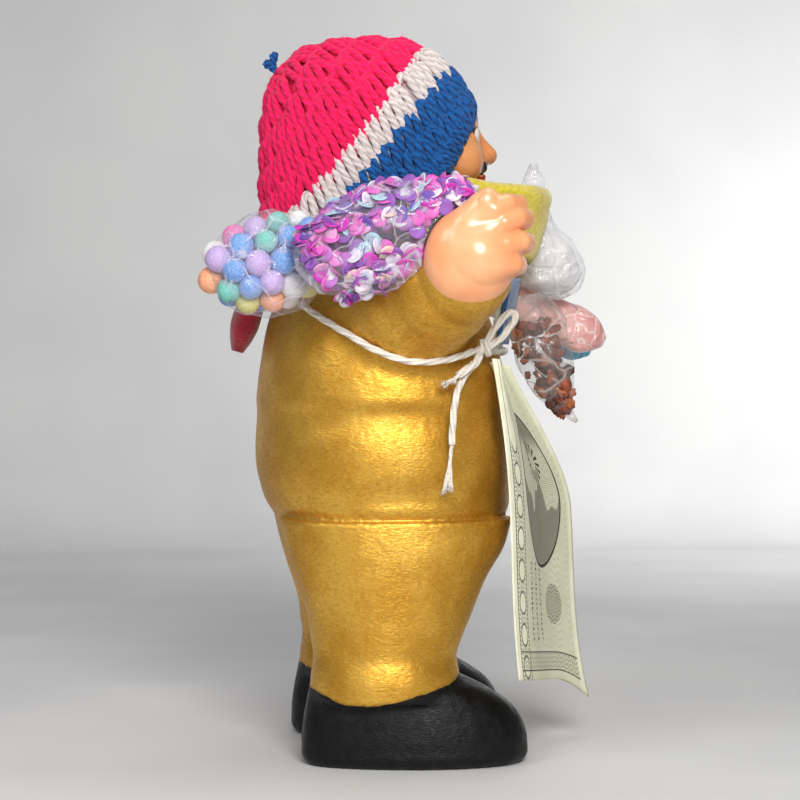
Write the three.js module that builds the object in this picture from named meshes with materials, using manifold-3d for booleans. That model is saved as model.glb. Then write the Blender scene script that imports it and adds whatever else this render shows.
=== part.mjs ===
// Ekeko: a painted cast figurine with a crocheted hat and a load of small goods tied on with string.
// Millimetres, +Z up. The figure faces -Y and its right hand is at -X.
import * as THREE from 'three';
import { mergeVertices } from 'three/addons/utils/BufferGeometryUtils.js';
import Module from 'manifold-3d';

const wasm = await Module();
wasm.setup();

// Driving sizes
const FEET_APART = 56;
const SHOE_HEIGHT = 28;
const HEM_HEIGHT = 78.6;
const SLEEVE_RADIUS = 21;
const CROWN_HEIGHT = 222;
const CHIN_HEIGHT = 175.5;
const FACE_FRONT = 34;
const HAT = { forward: -2.4, z: 185.5, halfWidth: 33.5, halfDepth: 37.4, halfHeight: 43.6, wall: 4.2 };
const HAT_POLE = new THREE.Vector2(-0.757, 0.653);
const HAND = { x: -73, forward: 24.2, z: 159 };
const NOTE = { width: 66, drop: 109, thickness: 0.5 };
const STRING = 2.2;
const GAP = 0.4;
const SHORTEST_EDGE = 0.04;

// A place given by how far it is to the left, how far forward, and how high
const at = (x, forward, z) => new THREE.Vector3(x, -forward, z);
const radians = THREE.MathUtils.degToRad;

const paint = (color, roughness, metalness = 0) => new THREE.MeshStandardMaterial({ color, roughness, metalness });
const GOLD_PAINT = paint(0xc49a35, 0.4, 0.6);
const PINK_YARN = paint(0xf5186e, 0.9);
const BLUE_YARN = paint(0x0060a8, 0.9);
const CLEAR_FILM = paint(0xd8d4e2, 0.15);
const CONFETTI = paint(0xc765c0, 0.4);
const COTTON = paint(0xe9e9e7, 0.6);
const BARK = paint(0x7a4630, 0.4);
const PINK_WRAP = paint(0xe8b0aa, 0.4);
const BLUE_WRAP = paint(0x49a9d8, 0.4);
const RED_CLOTH = paint(0xb01430, 0.85);
const YELLOW_FELT = paint(0xdcc62a, 0.95);
const BLUE_FELT = paint(0x0a5f9e, 0.95);
const NOTE_PAPER = paint(0xeeeecb, 0.8);
const WHITE_COTTON = paint(0xece4da, 0.9);

// A closed body from rows of points that run round it, with a fan of triangles over each end
function bodyOfRows(rows) {
  const around = rows[0].length;
  const points = rows.flat();
  const faces = [];
  for (let row = 0; row + 1 < rows.length; row++) {
    for (let i = 0; i < around; i++) {
      const a = row * around + i;
      const b = row * around + (i + 1) % around;
      faces.push(a, b, a + around, b, b + around, a + around);
    }
  }
  for (const row of [0, rows.length - 1]) {
    const middle = points.push(rows[row].reduce((sum, p) => sum.add(p), new THREE.Vector3()).divideScalar(around)) - 1;
    for (let i = 0; i < around; i++) {
      const a = row * around + i;
      const b = row * around + (i + 1) % around;
      faces.push(...(row === 0 ? [b, a, middle] : [a, b, middle]));
    }
  }
  return closedBody(points, faces);
}

// The geometry of closed faces, turned the right way out where its volume comes out negative
function closedBody(points, faces) {
  let volume = 0;
  for (let i = 0; i < faces.length; i += 3) {
    const [a, b, c] = [points[faces[i]], points[faces[i + 1]], points[faces[i + 2]]];
    volume += a.dot(b.clone().cross(c));
  }
  if (volume < 0) faces.reverse();
  const geometry = new THREE.BufferGeometry();
  geometry.setAttribute('position', new THREE.Float32BufferAttribute(points.flatMap((p) => p.toArray()), 3));
  geometry.setIndex(faces);
  return geometry;
}

// Joining and cutting
function solid(geometry) {
  const bare = geometry.clone();
  bare.deleteAttribute('normal');
  bare.deleteAttribute('uv');
  const merged = mergeVertices(bare, 1e-4);
  return new wasm.Manifold(new wasm.Mesh({
    numProp: 3,
    vertProperties: new Float32Array(merged.attributes.position.array),
    triVerts: new Uint32Array(merged.index.array),
  }));
}

// A joined body as a geometry, with the slivers along its seams closed up
function geometryOf(body) {
  const mesh = body.simplify(SHORTEST_EDGE).getMesh();
  const geometry = new THREE.BufferGeometry();
  geometry.setAttribute('position', new THREE.BufferAttribute(new Float32Array(mesh.vertProperties), 3));
  geometry.setIndex(new THREE.BufferAttribute(new Uint32Array(mesh.triVerts), 1));
  return geometry;
}

const join = (geometries) => geometries.map(solid).reduce((whole, next) => whole.add(next));

// A point on a rounded oval: power 2 is an ellipse, and a higher power is squarer
function oval(angle, halfWidth, halfDepth, power) {
  const [c, s] = [Math.cos(angle), Math.sin(angle)];
  const round = (value) => Math.sign(value) * Math.abs(value) ** (2 / power);
  return [halfWidth * round(c), halfDepth * round(s)];
}

const turns = (count) => Array.from({ length: count }, (_, i) => (i / count) * 2 * Math.PI);

// A body of level rings. Each station gives a height, the rear and front edge and half the width there.
function levelBody(stations, { middle = () => 0, sides = 36, rings = 12, power = 2.3, grow = 0 } = {}) {
  const heights = stations.map((s) => s.z);
  const values = stations.flatMap((s) => [s.back, s.front, s.half]);
  const between = new THREE.CubicInterpolant(heights, values, 3);
  const low = heights[0];
  const high = heights[heights.length - 1];
  const levels = Array.from({ length: rings + 1 }, (_, i) => low + (i / rings) * (high - low));
  return bodyOfRows([...new Set([...levels, ...heights])].sort((a, b) => a - b).map((z) => {
    const [back, front, half] = between.evaluate(z);
    return turns(sides).map((angle) => {
      const [x, forward] = oval(angle, half + grow, (front - back) / 2 + grow, power);
      return at(middle(z) + x, (front + back) / 2 + forward, z);
    });
  }));
}

// A body of round rings across a line of stations, each with a centre and a radius
function limb(stations, sides = 20) {
  const line = new THREE.CatmullRomCurve3(stations.map((s) => s.centre));
  return bodyOfRows(stations.map((station, i) => {
    const along = line.getTangent(i / (stations.length - 1));
    const across = new THREE.Vector3(0, 0, 1).cross(along).normalize();
    const up = along.clone().cross(across);
    return turns(sides).map((angle) => station.centre.clone()
      .addScaledVector(across, station.radius * Math.cos(angle))
      .addScaledVector(up, station.radius * Math.sin(angle)));
  }));
}

// An egg or pillow: half sizes along its own axes, then turned and placed
function egg(centre, halfSizes, turn = new THREE.Euler(), { sides = 16, rings = 10, power = 2 } = {}) {
  const rows = [];
  for (let ring = 1; ring < rings; ring++) {
    const [height, radius] = oval((ring / rings) * Math.PI - Math.PI / 2, 1, 1, power).reverse();
    rows.push(turns(sides).map((angle) => {
      const [x, y] = oval(angle, radius, radius, power);
      return new THREE.Vector3(x, y, height).multiply(halfSizes).applyEuler(turn).add(centre);
    }));
  }
  return bodyOfRows(rows);
}

// A tube with eight sides along a curve, with flat ends
function tube(curve, radius, steps, sides = 8) {
  const section = new THREE.Shape(turns(sides).map((a) => new THREE.Vector2(radius * Math.cos(a), radius * Math.sin(a))));
  return new THREE.ExtrudeGeometry(section, { steps, extrudePath: curve, curveSegments: sides });
}

const mirrored = (geometry) => {
  const copy = geometry.clone().scale(-1, 1, 1);
  copy.setIndex(Array.from(copy.index.array).reverse());
  return copy;
};

// The casting: body, limbs, head and shoes, joined
const TORSO = [
  { z: 66, back: -31, front: 35, half: 39 },
  { z: 75.5, back: -33.6, front: 39, half: 44.5 },
  { z: 77, back: -36.6, front: 40.6, half: 46.6 },
  { z: HEM_HEIGHT + 1.5, back: -38, front: 41, half: 47.6 },
  { z: 92, back: -40.4, front: 41.2, half: 49 },
  { z: 108, back: -40.2, front: 40.4, half: 48.2 },
  { z: 112, back: -40, front: 40.2, half: 49 },
  { z: 124, back: -39, front: 38.5, half: 48.2 },
  { z: 140, back: -35.6, front: 34, half: 43 },
  { z: 151, back: -30.5, front: 28, half: 36 },
  { z: 160, back: -22.5, front: 21.5, half: 26 },
  { z: 167, back: -17, front: 17, half: 19.5 },
  { z: 184, back: -16.5, front: 16.5, half: 18.5 },
];
const TROUSER_LEG = [
  { z: 22, back: -24.2, front: 21.4, half: 19.5 },
  { z: 33, back: -24.3, front: 21.4, half: 19.4 },
  { z: 45, back: -25.4, front: 25.4, half: 20.4 },
  { z: 58, back: -29.4, front: 31, half: 22 },
  { z: 67, back: -32, front: 36.4, half: 23 },
  { z: 76, back: -34, front: 39, half: 23.4 },
];
const HIPS = [
  { z: 56, back: -16, front: 18, half: 10 },
  { z: 62, back: -26, front: 29, half: 33 },
  { z: 70, back: -32, front: 36.5, half: 42.5 },
];
const SHOE = [
  { z: 0, back: -25.8, front: 41.6, half: 17 },
  { z: 1.4, back: -27, front: 42.8, half: 18.2 },
  { z: 6, back: -27.6, front: 43.3, half: 18.6 },
  { z: 12, back: -27.2, front: 42, half: 18.2 },
  { z: 18, back: -26.2, front: 37.8, half: 17.4 },
  { z: 23.5, back: -24.8, front: 29.4, half: 16.6 },
  { z: SHOE_HEIGHT, back: -22, front: 20, half: 14 },
];
const footX = FEET_APART / 2;
const legX = (z) => -(footX - 0.09 * Math.max(z - 30, 0));

function shoe() {
  const body = levelBody(SHOE, { middle: () => -footX, sides: 20, rings: 1, power: 2.5 });
  const position = body.attributes.position;
  for (let i = 0; i < position.count; i++) {
    const forward = -position.getY(i);
    const narrow = 1 - 0.2 * THREE.MathUtils.smoothstep(-forward, -18, 27);
    position.setX(i, -footX + (position.getX(i) + footX) * narrow);
  }
  return body;
}

const SLEEVE = [
  [-14, -1, 140.5, 0], [-32, 2, 141.5, 0], [-43, 6, 143.5, 0.6], [-54, 12, 147, 3.4], [-61.5, 17, 150, 6],
  [-64.5, 18.8, 151.4, 6.8],
];
const sleeve = (grow = 0) => limb(SLEEVE.map(([x, forward, z, taper]) => (
  { centre: at(x, forward, z), radius: SLEEVE_RADIUS - taper + grow })), 16);

// A rounded finger from its knuckle to its tip, bent over at the end
function finger(knuckle, tip, radius, curl) {
  const line = new THREE.QuadraticBezierCurve3(knuckle, tip, tip.clone().add(new THREE.Vector3(curl, 0, 0)));
  return limb([[0, 1], [0.5, 1], [0.8, 0.84], [1, 0.4]].map(([t, taper]) => (
    { centre: line.getPoint(t), radius: radius * taper })), 7);
}

function hand(grow = 0) {
  const palm = egg(at(HAND.x, HAND.forward - 2.4, HAND.z - 1), new THREE.Vector3(8 + grow, 13.6 + grow, 14.2 + grow),
    new THREE.Euler(radians(40), 0, 0), { sides: 12, rings: 7, power: 2.3 });
  const wrist = limb([
    { centre: at(-58, 14.8, 148.8), radius: 13.6 + grow },
    { centre: at(-66, 18.8, 152), radius: 13.4 + grow },
    { centre: at(HAND.x - 2, HAND.forward - 3, HAND.z - 1.5), radius: 8.4 + grow },
  ], 12);
  const tips = [[5.8, 12], [9.8, 6.8], [11, 0.8], [8.6, -6.4]];
  const fingers = tips.map(([forward, up], i) => finger(at(HAND.x - 3.6, HAND.forward - 3.6, HAND.z + 4.4 - 4 * i),
    at(HAND.x - 5.4, HAND.forward + forward, HAND.z + up), 4.6 + grow, 10));
  const thumb = limb([
    { centre: at(HAND.x + 1, HAND.forward - 9.5, HAND.z + 2), radius: 5 + grow },
    { centre: at(HAND.x - 1, HAND.forward - 5, HAND.z + 8), radius: 5.2 + grow },
    { centre: at(HAND.x - 2.4, HAND.forward - 0.6, HAND.z + 13), radius: 4.6 + grow },
    { centre: at(HAND.x - 3, HAND.forward + 1.4, HAND.z + 15.6), radius: 2.6 + grow },
  ], 8);
  return [palm, wrist, thumb, ...fingers];
}

// The neck and skull: narrow inside the scarf, and full inside the hat
const SKULL = [
  { z: 150, back: -18, front: 19, half: 18.6 },
  { z: 168.6, back: -18.6, front: 20, half: 19.4 },
  { z: 172, back: -24, front: 21.6, half: 21.6 },
  { z: 176, back: -31, front: 23, half: 23.2 },
  { z: 182, back: -33.4, front: 24, half: 24.4 },
  { z: 190, back: -33.8, front: 24, half: 27 },
  { z: 200, back: -33, front: 22.5, half: 27 },
  { z: 208, back: -30.4, front: 19, half: 25 },
  { z: 215, back: -24.6, front: 12, half: 19 },
  { z: CROWN_HEIGHT - 1.6, back: -14, front: 2, half: 8 },
];

// The head, with a calm doll's face in thirds from the hairline: brow, foot of the nose, chin
function head() {
  const height = CROWN_HEIGHT - CHIN_HEIGHT;
  const third = (height - 5) / 3;
  const noseFoot = CHIN_HEIGHT + third;
  const eyeLine = CHIN_HEIGHT + height / 2;
  const lips = noseFoot - third / 3;
  const lump = (x, forward, z, size, shape, turn = new THREE.Euler()) => egg(at(x, forward, z), new THREE.Vector3(...size),
    turn, shape);
  const small = { sides: 8, rings: 6 };
  const skull = levelBody(SKULL, { sides: 18, rings: 1, power: 2.2 });
  const face = lump(0, FACE_FRONT - 27, CHIN_HEIGHT + 15.5, [23.4, 26.4, 15.6], { sides: 16, rings: 8, power: 2.2 });
  const nose = limb([
    { centre: at(0, FACE_FRONT - 4.5, eyeLine), radius: 2.4 },
    { centre: at(0, FACE_FRONT - 0.6, noseFoot + 5), radius: 2.9 },
    { centre: at(0, FACE_FRONT + 1.4, noseFoot + 2.4), radius: 3.2 },
    { centre: at(0, FACE_FRONT + 0.8, noseFoot), radius: 2 },
  ], 8);
  const paired = [-1, 1].flatMap((side) => [
    lump(side * 2.9, FACE_FRONT - 0.4, noseFoot + 1.2, [2.3, 2.6, 1.9], { sides: 8, rings: 5 }),
    lump(side * 5, FACE_FRONT - 1.4, lips + 2.8, [5.4, 2.4, 1.5], small, new THREE.Euler(0, side * 0.22, 0)),
  ]);
  const mouth = [-1, 1].map((lift) => lump(0, FACE_FRONT - 1.8, lips - 0.8 + 0.9 * lift, [4.6, 2.2, 1.2], small));
  const chinTip = lump(0, FACE_FRONT - 6, CHIN_HEIGHT + 3.6, [7, 5, 4.4], { sides: 10, rings: 6 });
  return [skull, face, nose, chinTip, ...paired, ...mouth];
}

function figure() {
  const half = [
    levelBody(TROUSER_LEG, { middle: legX, sides: 20, rings: 1, power: 2.2 }),
    shoe(),
    sleeve(),
    ...hand(),
  ];
  return geometryOf(join([
    levelBody(TORSO, { sides: 32, rings: 1, power: 2.35 }),
    levelBody(HIPS, { sides: 20, rings: 1 }),
    ...half,
    ...half.map(mirrored),
    ...head(),
  ]));
}

// The hat: a point of its outer face, by the angle down from the crown's pole and the angle round it
const poleAxis = at(0, HAT_POLE.x, HAT_POLE.y);
const browAxis = at(0, HAT_POLE.y, -HAT_POLE.x);

function hatPoint(down, round, grow = 0) {
  const side = new THREE.Vector3(1, 0, 0);
  const way = poleAxis.clone().multiplyScalar(Math.cos(down))
    .addScaledVector(browAxis, Math.sin(down) * Math.cos(round))
    .addScaledVector(side, Math.sin(down) * Math.sin(round));
  const squareness = THREE.MathUtils.lerp(2.3, 3.1, THREE.MathUtils.smoothstep(way.y, -0.7, 0.5));
  const level = Math.hypot(way.x / (HAT.halfWidth + grow), way.y / (HAT.halfDepth + grow));
  const reach = (level ** squareness + Math.abs(way.z / (HAT.halfHeight + grow)) ** squareness) ** (-1 / squareness);
  return way.multiplyScalar(reach).add(at(0, HAT.forward, HAT.z));
}

// How far down the rim is: high over the brow, low over the ears, highest at the nape
function rim(round) {
  const c = Math.cos(round);
  return radians(118 + 9 * c - 21 * c * c);
}

function crochetHat(grow = 0) {
  const [around, down] = [26, 9];
  const wall = (grow) => Array.from({ length: down }, (_, row) => turns(around)
    .map((round) => hatPoint(rim(round) * ((row + 1) / down), round, grow)));
  return bodyOfRows([...wall(grow), ...wall(-HAT.wall - grow).reverse()]);
}

// Two short ends of yarn that stand up from a knot on the crown
function yarnTie() {
  const foot = hatPoint(radians(5), 0, GAP);
  const ends = [[0, -3.6, 4.8], [0.6, 0.2, 7.2]].map(([x, forward, up]) => {
    const out = foot.clone().add(at(0.3 * x, -1.8, 2.6));
    const line = new THREE.QuadraticBezierCurve3(foot, out, foot.clone().add(at(x, forward, up)));
    return limb([0, 0.35, 0.7, 1].map((t) => ({ centre: line.getPoint(t), radius: 1.3 - 0.3 * t })), 8);
  });
  return geometryOf(join(ends));
}

// A sealed bag or packet: rounded rings across a line of stations. Each station gives its place, half
// the ring's height and half its thickness.
function bag(stations, power = 2.2) {
  const line = new THREE.CatmullRomCurve3(stations.map(([x, forward, z]) => at(x, forward, z)));
  return bodyOfRows(stations.map(([x, forward, z, tall, thick], i) => {
    const along = line.getTangent(i / (stations.length - 1));
    const across = new THREE.Vector3(1, 0, 0).projectOnPlane(along).normalize();
    const up = along.clone().cross(across);
    return turns(12).map((angle) => {
      const [outward, upward] = oval(angle, thick, tall, power);
      return at(x, forward, z).addScaledVector(across, outward).addScaledVector(up, upward);
    });
  }));
}

// The bag of foam balls, slung behind the shoulder
const foamBallBag = () => bag([
  [-43, -56, 149.5, 3, 3], [-43, -53, 150.5, 9.5, 8], [-43, -45.5, 152.5, 14.5, 11], [-43.5, -36, 155.5, 16.5, 11],
  [-44, -27.5, 159.5, 13.5, 9], [-44.5, -22.5, 163.5, 8, 6], [-44.5, -20, 166, 3, 3],
]);

// The bag of confetti lies over the sleeve and against the back of the hand, and is hollowed by both
function confettiBag() {
  const full = bag([
    [-60, -27.6, 149, 6, 2.5], [-61, -24.4, 152, 11.6, 5.5], [-62, -17, 157, 15, 8], [-63, -7, 161.5, 16.4, 9],
    [-64.5, 4, 165.5, 15, 8.5], [-67, 12, 170.5, 10.5, 6.5], [-69.5, 18.5, 175, 4.5, 3], [-70.5, 22, 176.8, 1.2, 1.2],
  ]);
  return geometryOf([sleeve(GAP), ...hand(GAP)].map(solid)
    .reduce((left, neighbour) => left.subtract(neighbour), solid(full)));
}

// The goods in front of the chest and below it, and the piece at the back
const cottonBag = () => bag([
  [28, 54.8, 191.5, 1.4, 1.2], [28, 54.6, 187, 3.6, 3], [28, 53.8, 179, 6, 5.6], [28, 55.2, 167.5, 8.6, 8],
  [28, 59.6, 157, 12.6, 9.5], [28, 61.2, 150.5, 11, 8], [28, 61, 145.6, 4, 3],
]);
const barkBag = () => bag([
  [-14, 47, 146.5, 5, 3.5], [-14, 48, 141, 8.6, 6.5], [-14.5, 49.8, 131, 9.8, 8.5], [-15, 52.2, 123, 9, 8],
  [-15, 54.4, 117, 7.4, 6.5], [-15, 57, 112, 4.8, 4.2], [-15, 60, 108, 2.2, 2], [-15, 62, 105.6, 0.8, 0.8],
]);
const pinkPacket = () => bag([
  [42, 32.4, 156.2, 2.4, 5], [42, 35.4, 154.6, 5.8, 7], [42, 63.5, 140.4, 6.6, 7.4], [42, 77.6, 132.8, 6, 7],
  [42, 81, 131, 2.4, 5],
], 3);
const bluePacket = () => bag([[54, 66, 134, 3, 3], [54, 69, 132.6, 5.4, 4], [54, 76, 129, 5, 4], [54, 79, 127.6, 2, 3]], 3);
const redPacket = () => bag([[3, -40.2, 148, 2, 6], [3, -41.4, 144.5, 3.6, 9], [3, -45.6, 131.5, 3.6, 9], [3, -46.6, 128, 2, 6]], 3);

// A felt band laid in a loop round the neck, narrow behind, and tall and leaning out in front
function feltScarf() {
  const thickness = 3.4;
  const edge = (round) => {
    const front = (1 + Math.cos(round)) / 2;
    const forward = THREE.MathUtils.lerp(-25, 51.4, front ** 1.1);
    const jaw = Math.exp(-(((forward - 23) / 7) ** 2));
    return {
      x: 25.8 * Math.sin(round),
      forward,
      lean: 2.6 * front ** 3,
      low: 165.2 - 8.6 * front ** 3,
      high: 168 + 13 * THREE.MathUtils.smoothstep(front, 0.18, 0.74) + 2.4 * jaw,
    };
  };
  const rows = turns(30).map((round) => {
    const { x, forward, lean, low, high } = edge(round);
    const [before, after] = [edge(round - 0.01), edge(round + 0.01)];
    const along = new THREE.Vector2(after.x - before.x, after.forward - before.forward).normalize();
    const corner = (side, up) => at(x + side * along.y * thickness / 2, forward - side * along.x * thickness / 2
      + (up ? lean : -lean), up ? high : low);
    return [corner(-1, false), corner(-1, true), corner(1, true), corner(1, false)];
  });
  return ringOfRows(rows);
}

// A closed ring: rows of points round its section, joined from each row to the next and back to the first
function ringOfRows(rows) {
  const around = rows[0].length;
  const faces = [];
  for (let row = 0; row < rows.length; row++) {
    for (let i = 0; i < around; i++) {
      const [a, b] = [row * around + i, row * around + (i + 1) % around];
      const next = ((row + 1) % rows.length) * around;
      faces.push(a, b, next + i, b, next + (i + 1) % around, next + i);
    }
  }
  return closedBody(rows.flat(), faces);
}

// A thin sheet: rows of points along it, given a thickness to the rear
function thinSheet(place, across, along, thickness) {
  const grid = Array.from({ length: along + 1 }, (_, row) => Array.from({ length: across + 1 },
    (_, i) => place(i / across, row / along)));
  const rows = grid.map((row, r) => {
    const ahead = grid[Math.min(r + 1, along)];
    const behind = grid[Math.max(r - 1, 0)];
    const rear = row.map((point, i) => {
      const down = ahead[i].clone().sub(behind[i]);
      const right = row[Math.min(i + 1, across)].clone().sub(row[Math.max(i - 1, 0)]);
      return point.clone().addScaledVector(right.cross(down).normalize(), thickness);
    });
    return [...row, ...rear.reverse()];
  });
  return bodyOfRows(rows);
}

// The knot of the string, and the banknote that hangs gathered from it
const KNOT = at(-41, 27.6, 129);

function notePlace(across, down) {
  const drop = down * NOTE.drop;
  const open = THREE.MathUtils.smoothstep(drop, -14, 46);
  const left = at(-43.5 - 7 * down, 28.8 + 9.2 * down, KNOT.z - 3 - drop * 0.9);
  const way = at(0.86, 0.45, -0.13).normalize();
  const wave = 2.2 * Math.sin(across * 2 * Math.PI + 0.6) * (1 - 0.4 * down) + 1.5 * Math.sin(down * 5);
  const curl = 6 * Math.max(across - 0.72, 0) ** 2 / 0.078 * down ** 8;
  return left.addScaledVector(way, across * NOTE.width * (0.14 + 0.83 * open))
    .add(at(-0.45 * wave, 0.86 * wave + 0.5 * curl, -curl));
}

const banknote = () => thinSheet(notePlace, 8, 9, NOTE.thickness);

// The felt strip that hangs down the chest behind the knot
function feltRibbon() {
  return thinSheet((across, down) => at(-41 + 10 * across + 2.4 * down, 35.5 - 3.5 * down + 4.6 * across, 151 - 20.5 * down),
    1, 5, 2);
}

// The string: round the right side, up round the back, and down round the left side to the knot again
const STRING_ROUTE = [
  [-43.8, 24.2, 128.2], [-48.2, 19.2, 126.6], [-52, 11.6, 125.2], [-53.6, 2.6, 125.4], [-53, -5.8, 128.2],
  [-47, -14.2, 133.2], [-39.2, -22.8, 138.8], [-29.8, -28.8, 143.6], [-20, -32, 146.6], [-8.6, -33.8, 147.8],
  [2, -34.2, 147.8], [12.6, -33.4, 147.2], [22.6, -31.2, 145.8], [31.6, -27.2, 143], [40, -21.6, 138.4],
  [47.4, -14, 132.8], [52.2, -6, 128], [53.8, 3, 125.2], [51.8, 12.4, 124.8], [45.2, 21, 125.4],
  [36, 29.8, 126], [24.6, 36, 126.6], [11, 39, 127.2], [-4, 39.4, 127.8], [-17.8, 37.8, 128.4], [-30.2, 33.8, 128.8],
  [-37.4, 30, 129],
];
const TAIL_ROUTE = [
  [-43.4, 24.4, 124.6], [-45.8, 21.8, 121.4], [-48.4, 19.6, 118.4], [-49.8, 18, 114], [-50.4, 17.2, 108.6],
  [-50.6, 16.8, 102.8], [-50.6, 16.4, 96.8], [-50.4, 15.9, 90.8], [-50.2, 15.3, 85],
];
const route = (places) => new THREE.CatmullRomCurve3(places.map((p) => at(...p)));

// The bow's two strands lie side by side, so that together they are one flat loop
function stringKnot() {
  const bow = bag([
    [-41.8, 28.4, 130, 1.6, STRING / 2], [-42.4, 31.6, 134, 2.2, STRING / 2], [-42.9, 34.6, 137.6, 2.3, STRING / 2],
    [-43.1, 36.2, 139.6, 1.8, 0.9], [-43.2, 37, 140.6, 0.8, 0.5],
  ]);
  const knot = egg(KNOT, new THREE.Vector3(2.9, 3.1, 2.7), new THREE.Euler(), { sides: 10, rings: 6 });
  return geometryOf(join([knot, bow]));
}

function shortTail() {
  return tube(route([[-46.6, 24.2, 124], [-49.2, 21, 122.4], [-51.2, 18, 120.8], [-52.4, 14.6, 118]]), STRING / 2, 4);
}

const PIECES = [
  ['figure', GOLD_PAINT, figure()],
  ['crochet_hat', PINK_YARN, crochetHat()],
  ['yarn_tie', BLUE_YARN, yarnTie()],
  ['foam_ball_bag', CLEAR_FILM, foamBallBag()],
  ['confetti_bag', CONFETTI, confettiBag()],
  ['cotton_bag', COTTON, cottonBag()],
  ['bark_bag', BARK, barkBag()],
  ['pink_packet', PINK_WRAP, pinkPacket()],
  ['blue_packet', BLUE_WRAP, bluePacket()],
  ['red_packet', RED_CLOTH, redPacket()],
  ['felt_scarf', YELLOW_FELT, feltScarf()],
  ['felt_ribbon', BLUE_FELT, feltRibbon()],
  ['banknote', NOTE_PAPER, banknote()],
  ['string_loop', WHITE_COTTON, tube(route(STRING_ROUTE), STRING / 2, 40)],
  ['string_knot', WHITE_COTTON, stringKnot()],
  ['string_tail_short', WHITE_COTTON, shortTail()],
  ['string_tail_long', WHITE_COTTON, tube(route(TAIL_ROUTE), STRING / 2, 8)],
];

const group = new THREE.Group();
for (const [name, material, geometry] of PIECES) {
  const mesh = new THREE.Mesh(geometry, material);
  mesh.name = name;
  group.add(mesh);
}

// The origin is the middle of the foot of the box round everything but the string
const reach = new THREE.Box3();
group.children.filter((mesh) => !mesh.name.startsWith('string')).forEach((mesh) => reach.expandByObject(mesh));
const middle = reach.getCenter(new THREE.Vector3());
group.children.forEach((mesh) => mesh.geometry.translate(-middle.x, -middle.y, -reach.min.z));

export default group;
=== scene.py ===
import math

import bmesh
import bpy
import numpy as np
from mathutils import Matrix, Vector


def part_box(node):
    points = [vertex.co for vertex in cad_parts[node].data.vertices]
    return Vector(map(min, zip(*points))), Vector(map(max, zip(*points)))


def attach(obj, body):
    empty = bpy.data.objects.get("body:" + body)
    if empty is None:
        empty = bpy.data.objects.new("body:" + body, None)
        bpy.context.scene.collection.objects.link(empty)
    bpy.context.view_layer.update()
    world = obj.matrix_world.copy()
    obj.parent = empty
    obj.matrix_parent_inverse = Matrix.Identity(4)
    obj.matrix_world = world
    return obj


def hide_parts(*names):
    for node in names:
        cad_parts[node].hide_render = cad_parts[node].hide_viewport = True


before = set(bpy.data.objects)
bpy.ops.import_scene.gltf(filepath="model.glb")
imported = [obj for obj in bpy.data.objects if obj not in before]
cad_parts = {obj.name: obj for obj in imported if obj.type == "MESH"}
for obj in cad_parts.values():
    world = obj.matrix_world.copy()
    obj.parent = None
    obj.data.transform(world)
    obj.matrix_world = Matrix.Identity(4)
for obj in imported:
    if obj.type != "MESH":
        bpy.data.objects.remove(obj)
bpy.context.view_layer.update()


# Camera: a long lens at chest height, on the figure's right and a little behind it. Everywhere
# below, a place is given in millimetres as left of, forward of and above the middle of the feet.
figure_low, figure_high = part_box("figure")
BOX_MIDDLE_FORWARD = 1.35
FEET = np.array([(figure_low.x + figure_high.x) / 2,
                 (figure_low.y + figure_high.y) / 2 + BOX_MIDDLE_FORWARD / 1000, 0.0])


def place(points):
    """The same places in the row frame, in metres."""
    return FEET + np.asarray(points, float) * np.array([1, -1, 1]) / 1000


view_turn, view_dip = math.radians(6), math.radians(1.43)
view_ahead = Vector((math.cos(view_turn), -math.sin(view_turn), 0))
view_right = Vector((-math.sin(view_turn), -math.cos(view_turn), 0))
view_up = Vector((0, 0, 1))
look = view_ahead * math.cos(view_dip) - view_up * math.sin(view_dip)
look_up = view_up * math.cos(view_dip) + view_ahead * math.sin(view_dip)
camera_data = bpy.data.cameras.new("camera")
camera_data.sensor_width = 36
camera_data.lens = 98.4
camera_data.clip_end = 20
camera = bpy.data.objects.new("camera", camera_data)
bpy.context.scene.collection.objects.link(camera)
camera.matrix_world = Matrix((view_right, look_up, -look)).transposed().to_4x4()
camera.location = Vector(FEET) - view_ahead * 0.710 + view_right * 0.0062 + view_up * 0.130
bpy.context.scene.camera = camera


# The string that ties everything on: soft white cotton of three strands, twisted, about 2.2 mm
# thick. It runs round the body under the arms and is tied in a bow at the right side of the chest.
STRING_THICK = 2.2
STRING_ROUTE = [
    (-43.8, 24.2, 128.2), (-48.2, 19.2, 126.6), (-52, 11.6, 125.2), (-53.6, 2.6, 125.4), (-53, -5.8, 128.2),
    (-47, -14.2, 133.2), (-39.2, -22.8, 138.8), (-29.8, -28.8, 143.6), (-20, -32, 146.6), (-8.6, -33.8, 147.8),
    (2, -34.2, 147.8), (12.6, -33.4, 147.2), (22.6, -31.2, 145.8), (31.6, -27.2, 143), (40, -21.6, 138.4),
    (47.4, -14, 132.8), (52.2, -6, 128), (53.8, 3, 125.2), (51.8, 12.4, 124.8), (45.2, 21, 125.4),
    (36, 29.8, 126), (24.6, 36, 126.6), (11, 39, 127.2), (-4, 39.4, 127.8), (-17.8, 37.8, 128.4),
    (-30.2, 33.8, 128.8), (-37.4, 30, 129)]
TAIL_ROUTE = [
    (-43.4, 24.4, 124.6), (-45.8, 21.8, 121.4), (-48.4, 19.6, 118.4), (-49.8, 18, 114), (-50.4, 17.2, 108.6),
    (-50.6, 16.8, 102.8), (-50.6, 16.4, 96.8), (-50.4, 15.9, 90.8), (-50.2, 15.3, 85)]
KNOT = np.array([-41, 27.6, 129])
STRING_TWIST, STRING_TURN = 0.07, 19.0


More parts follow.
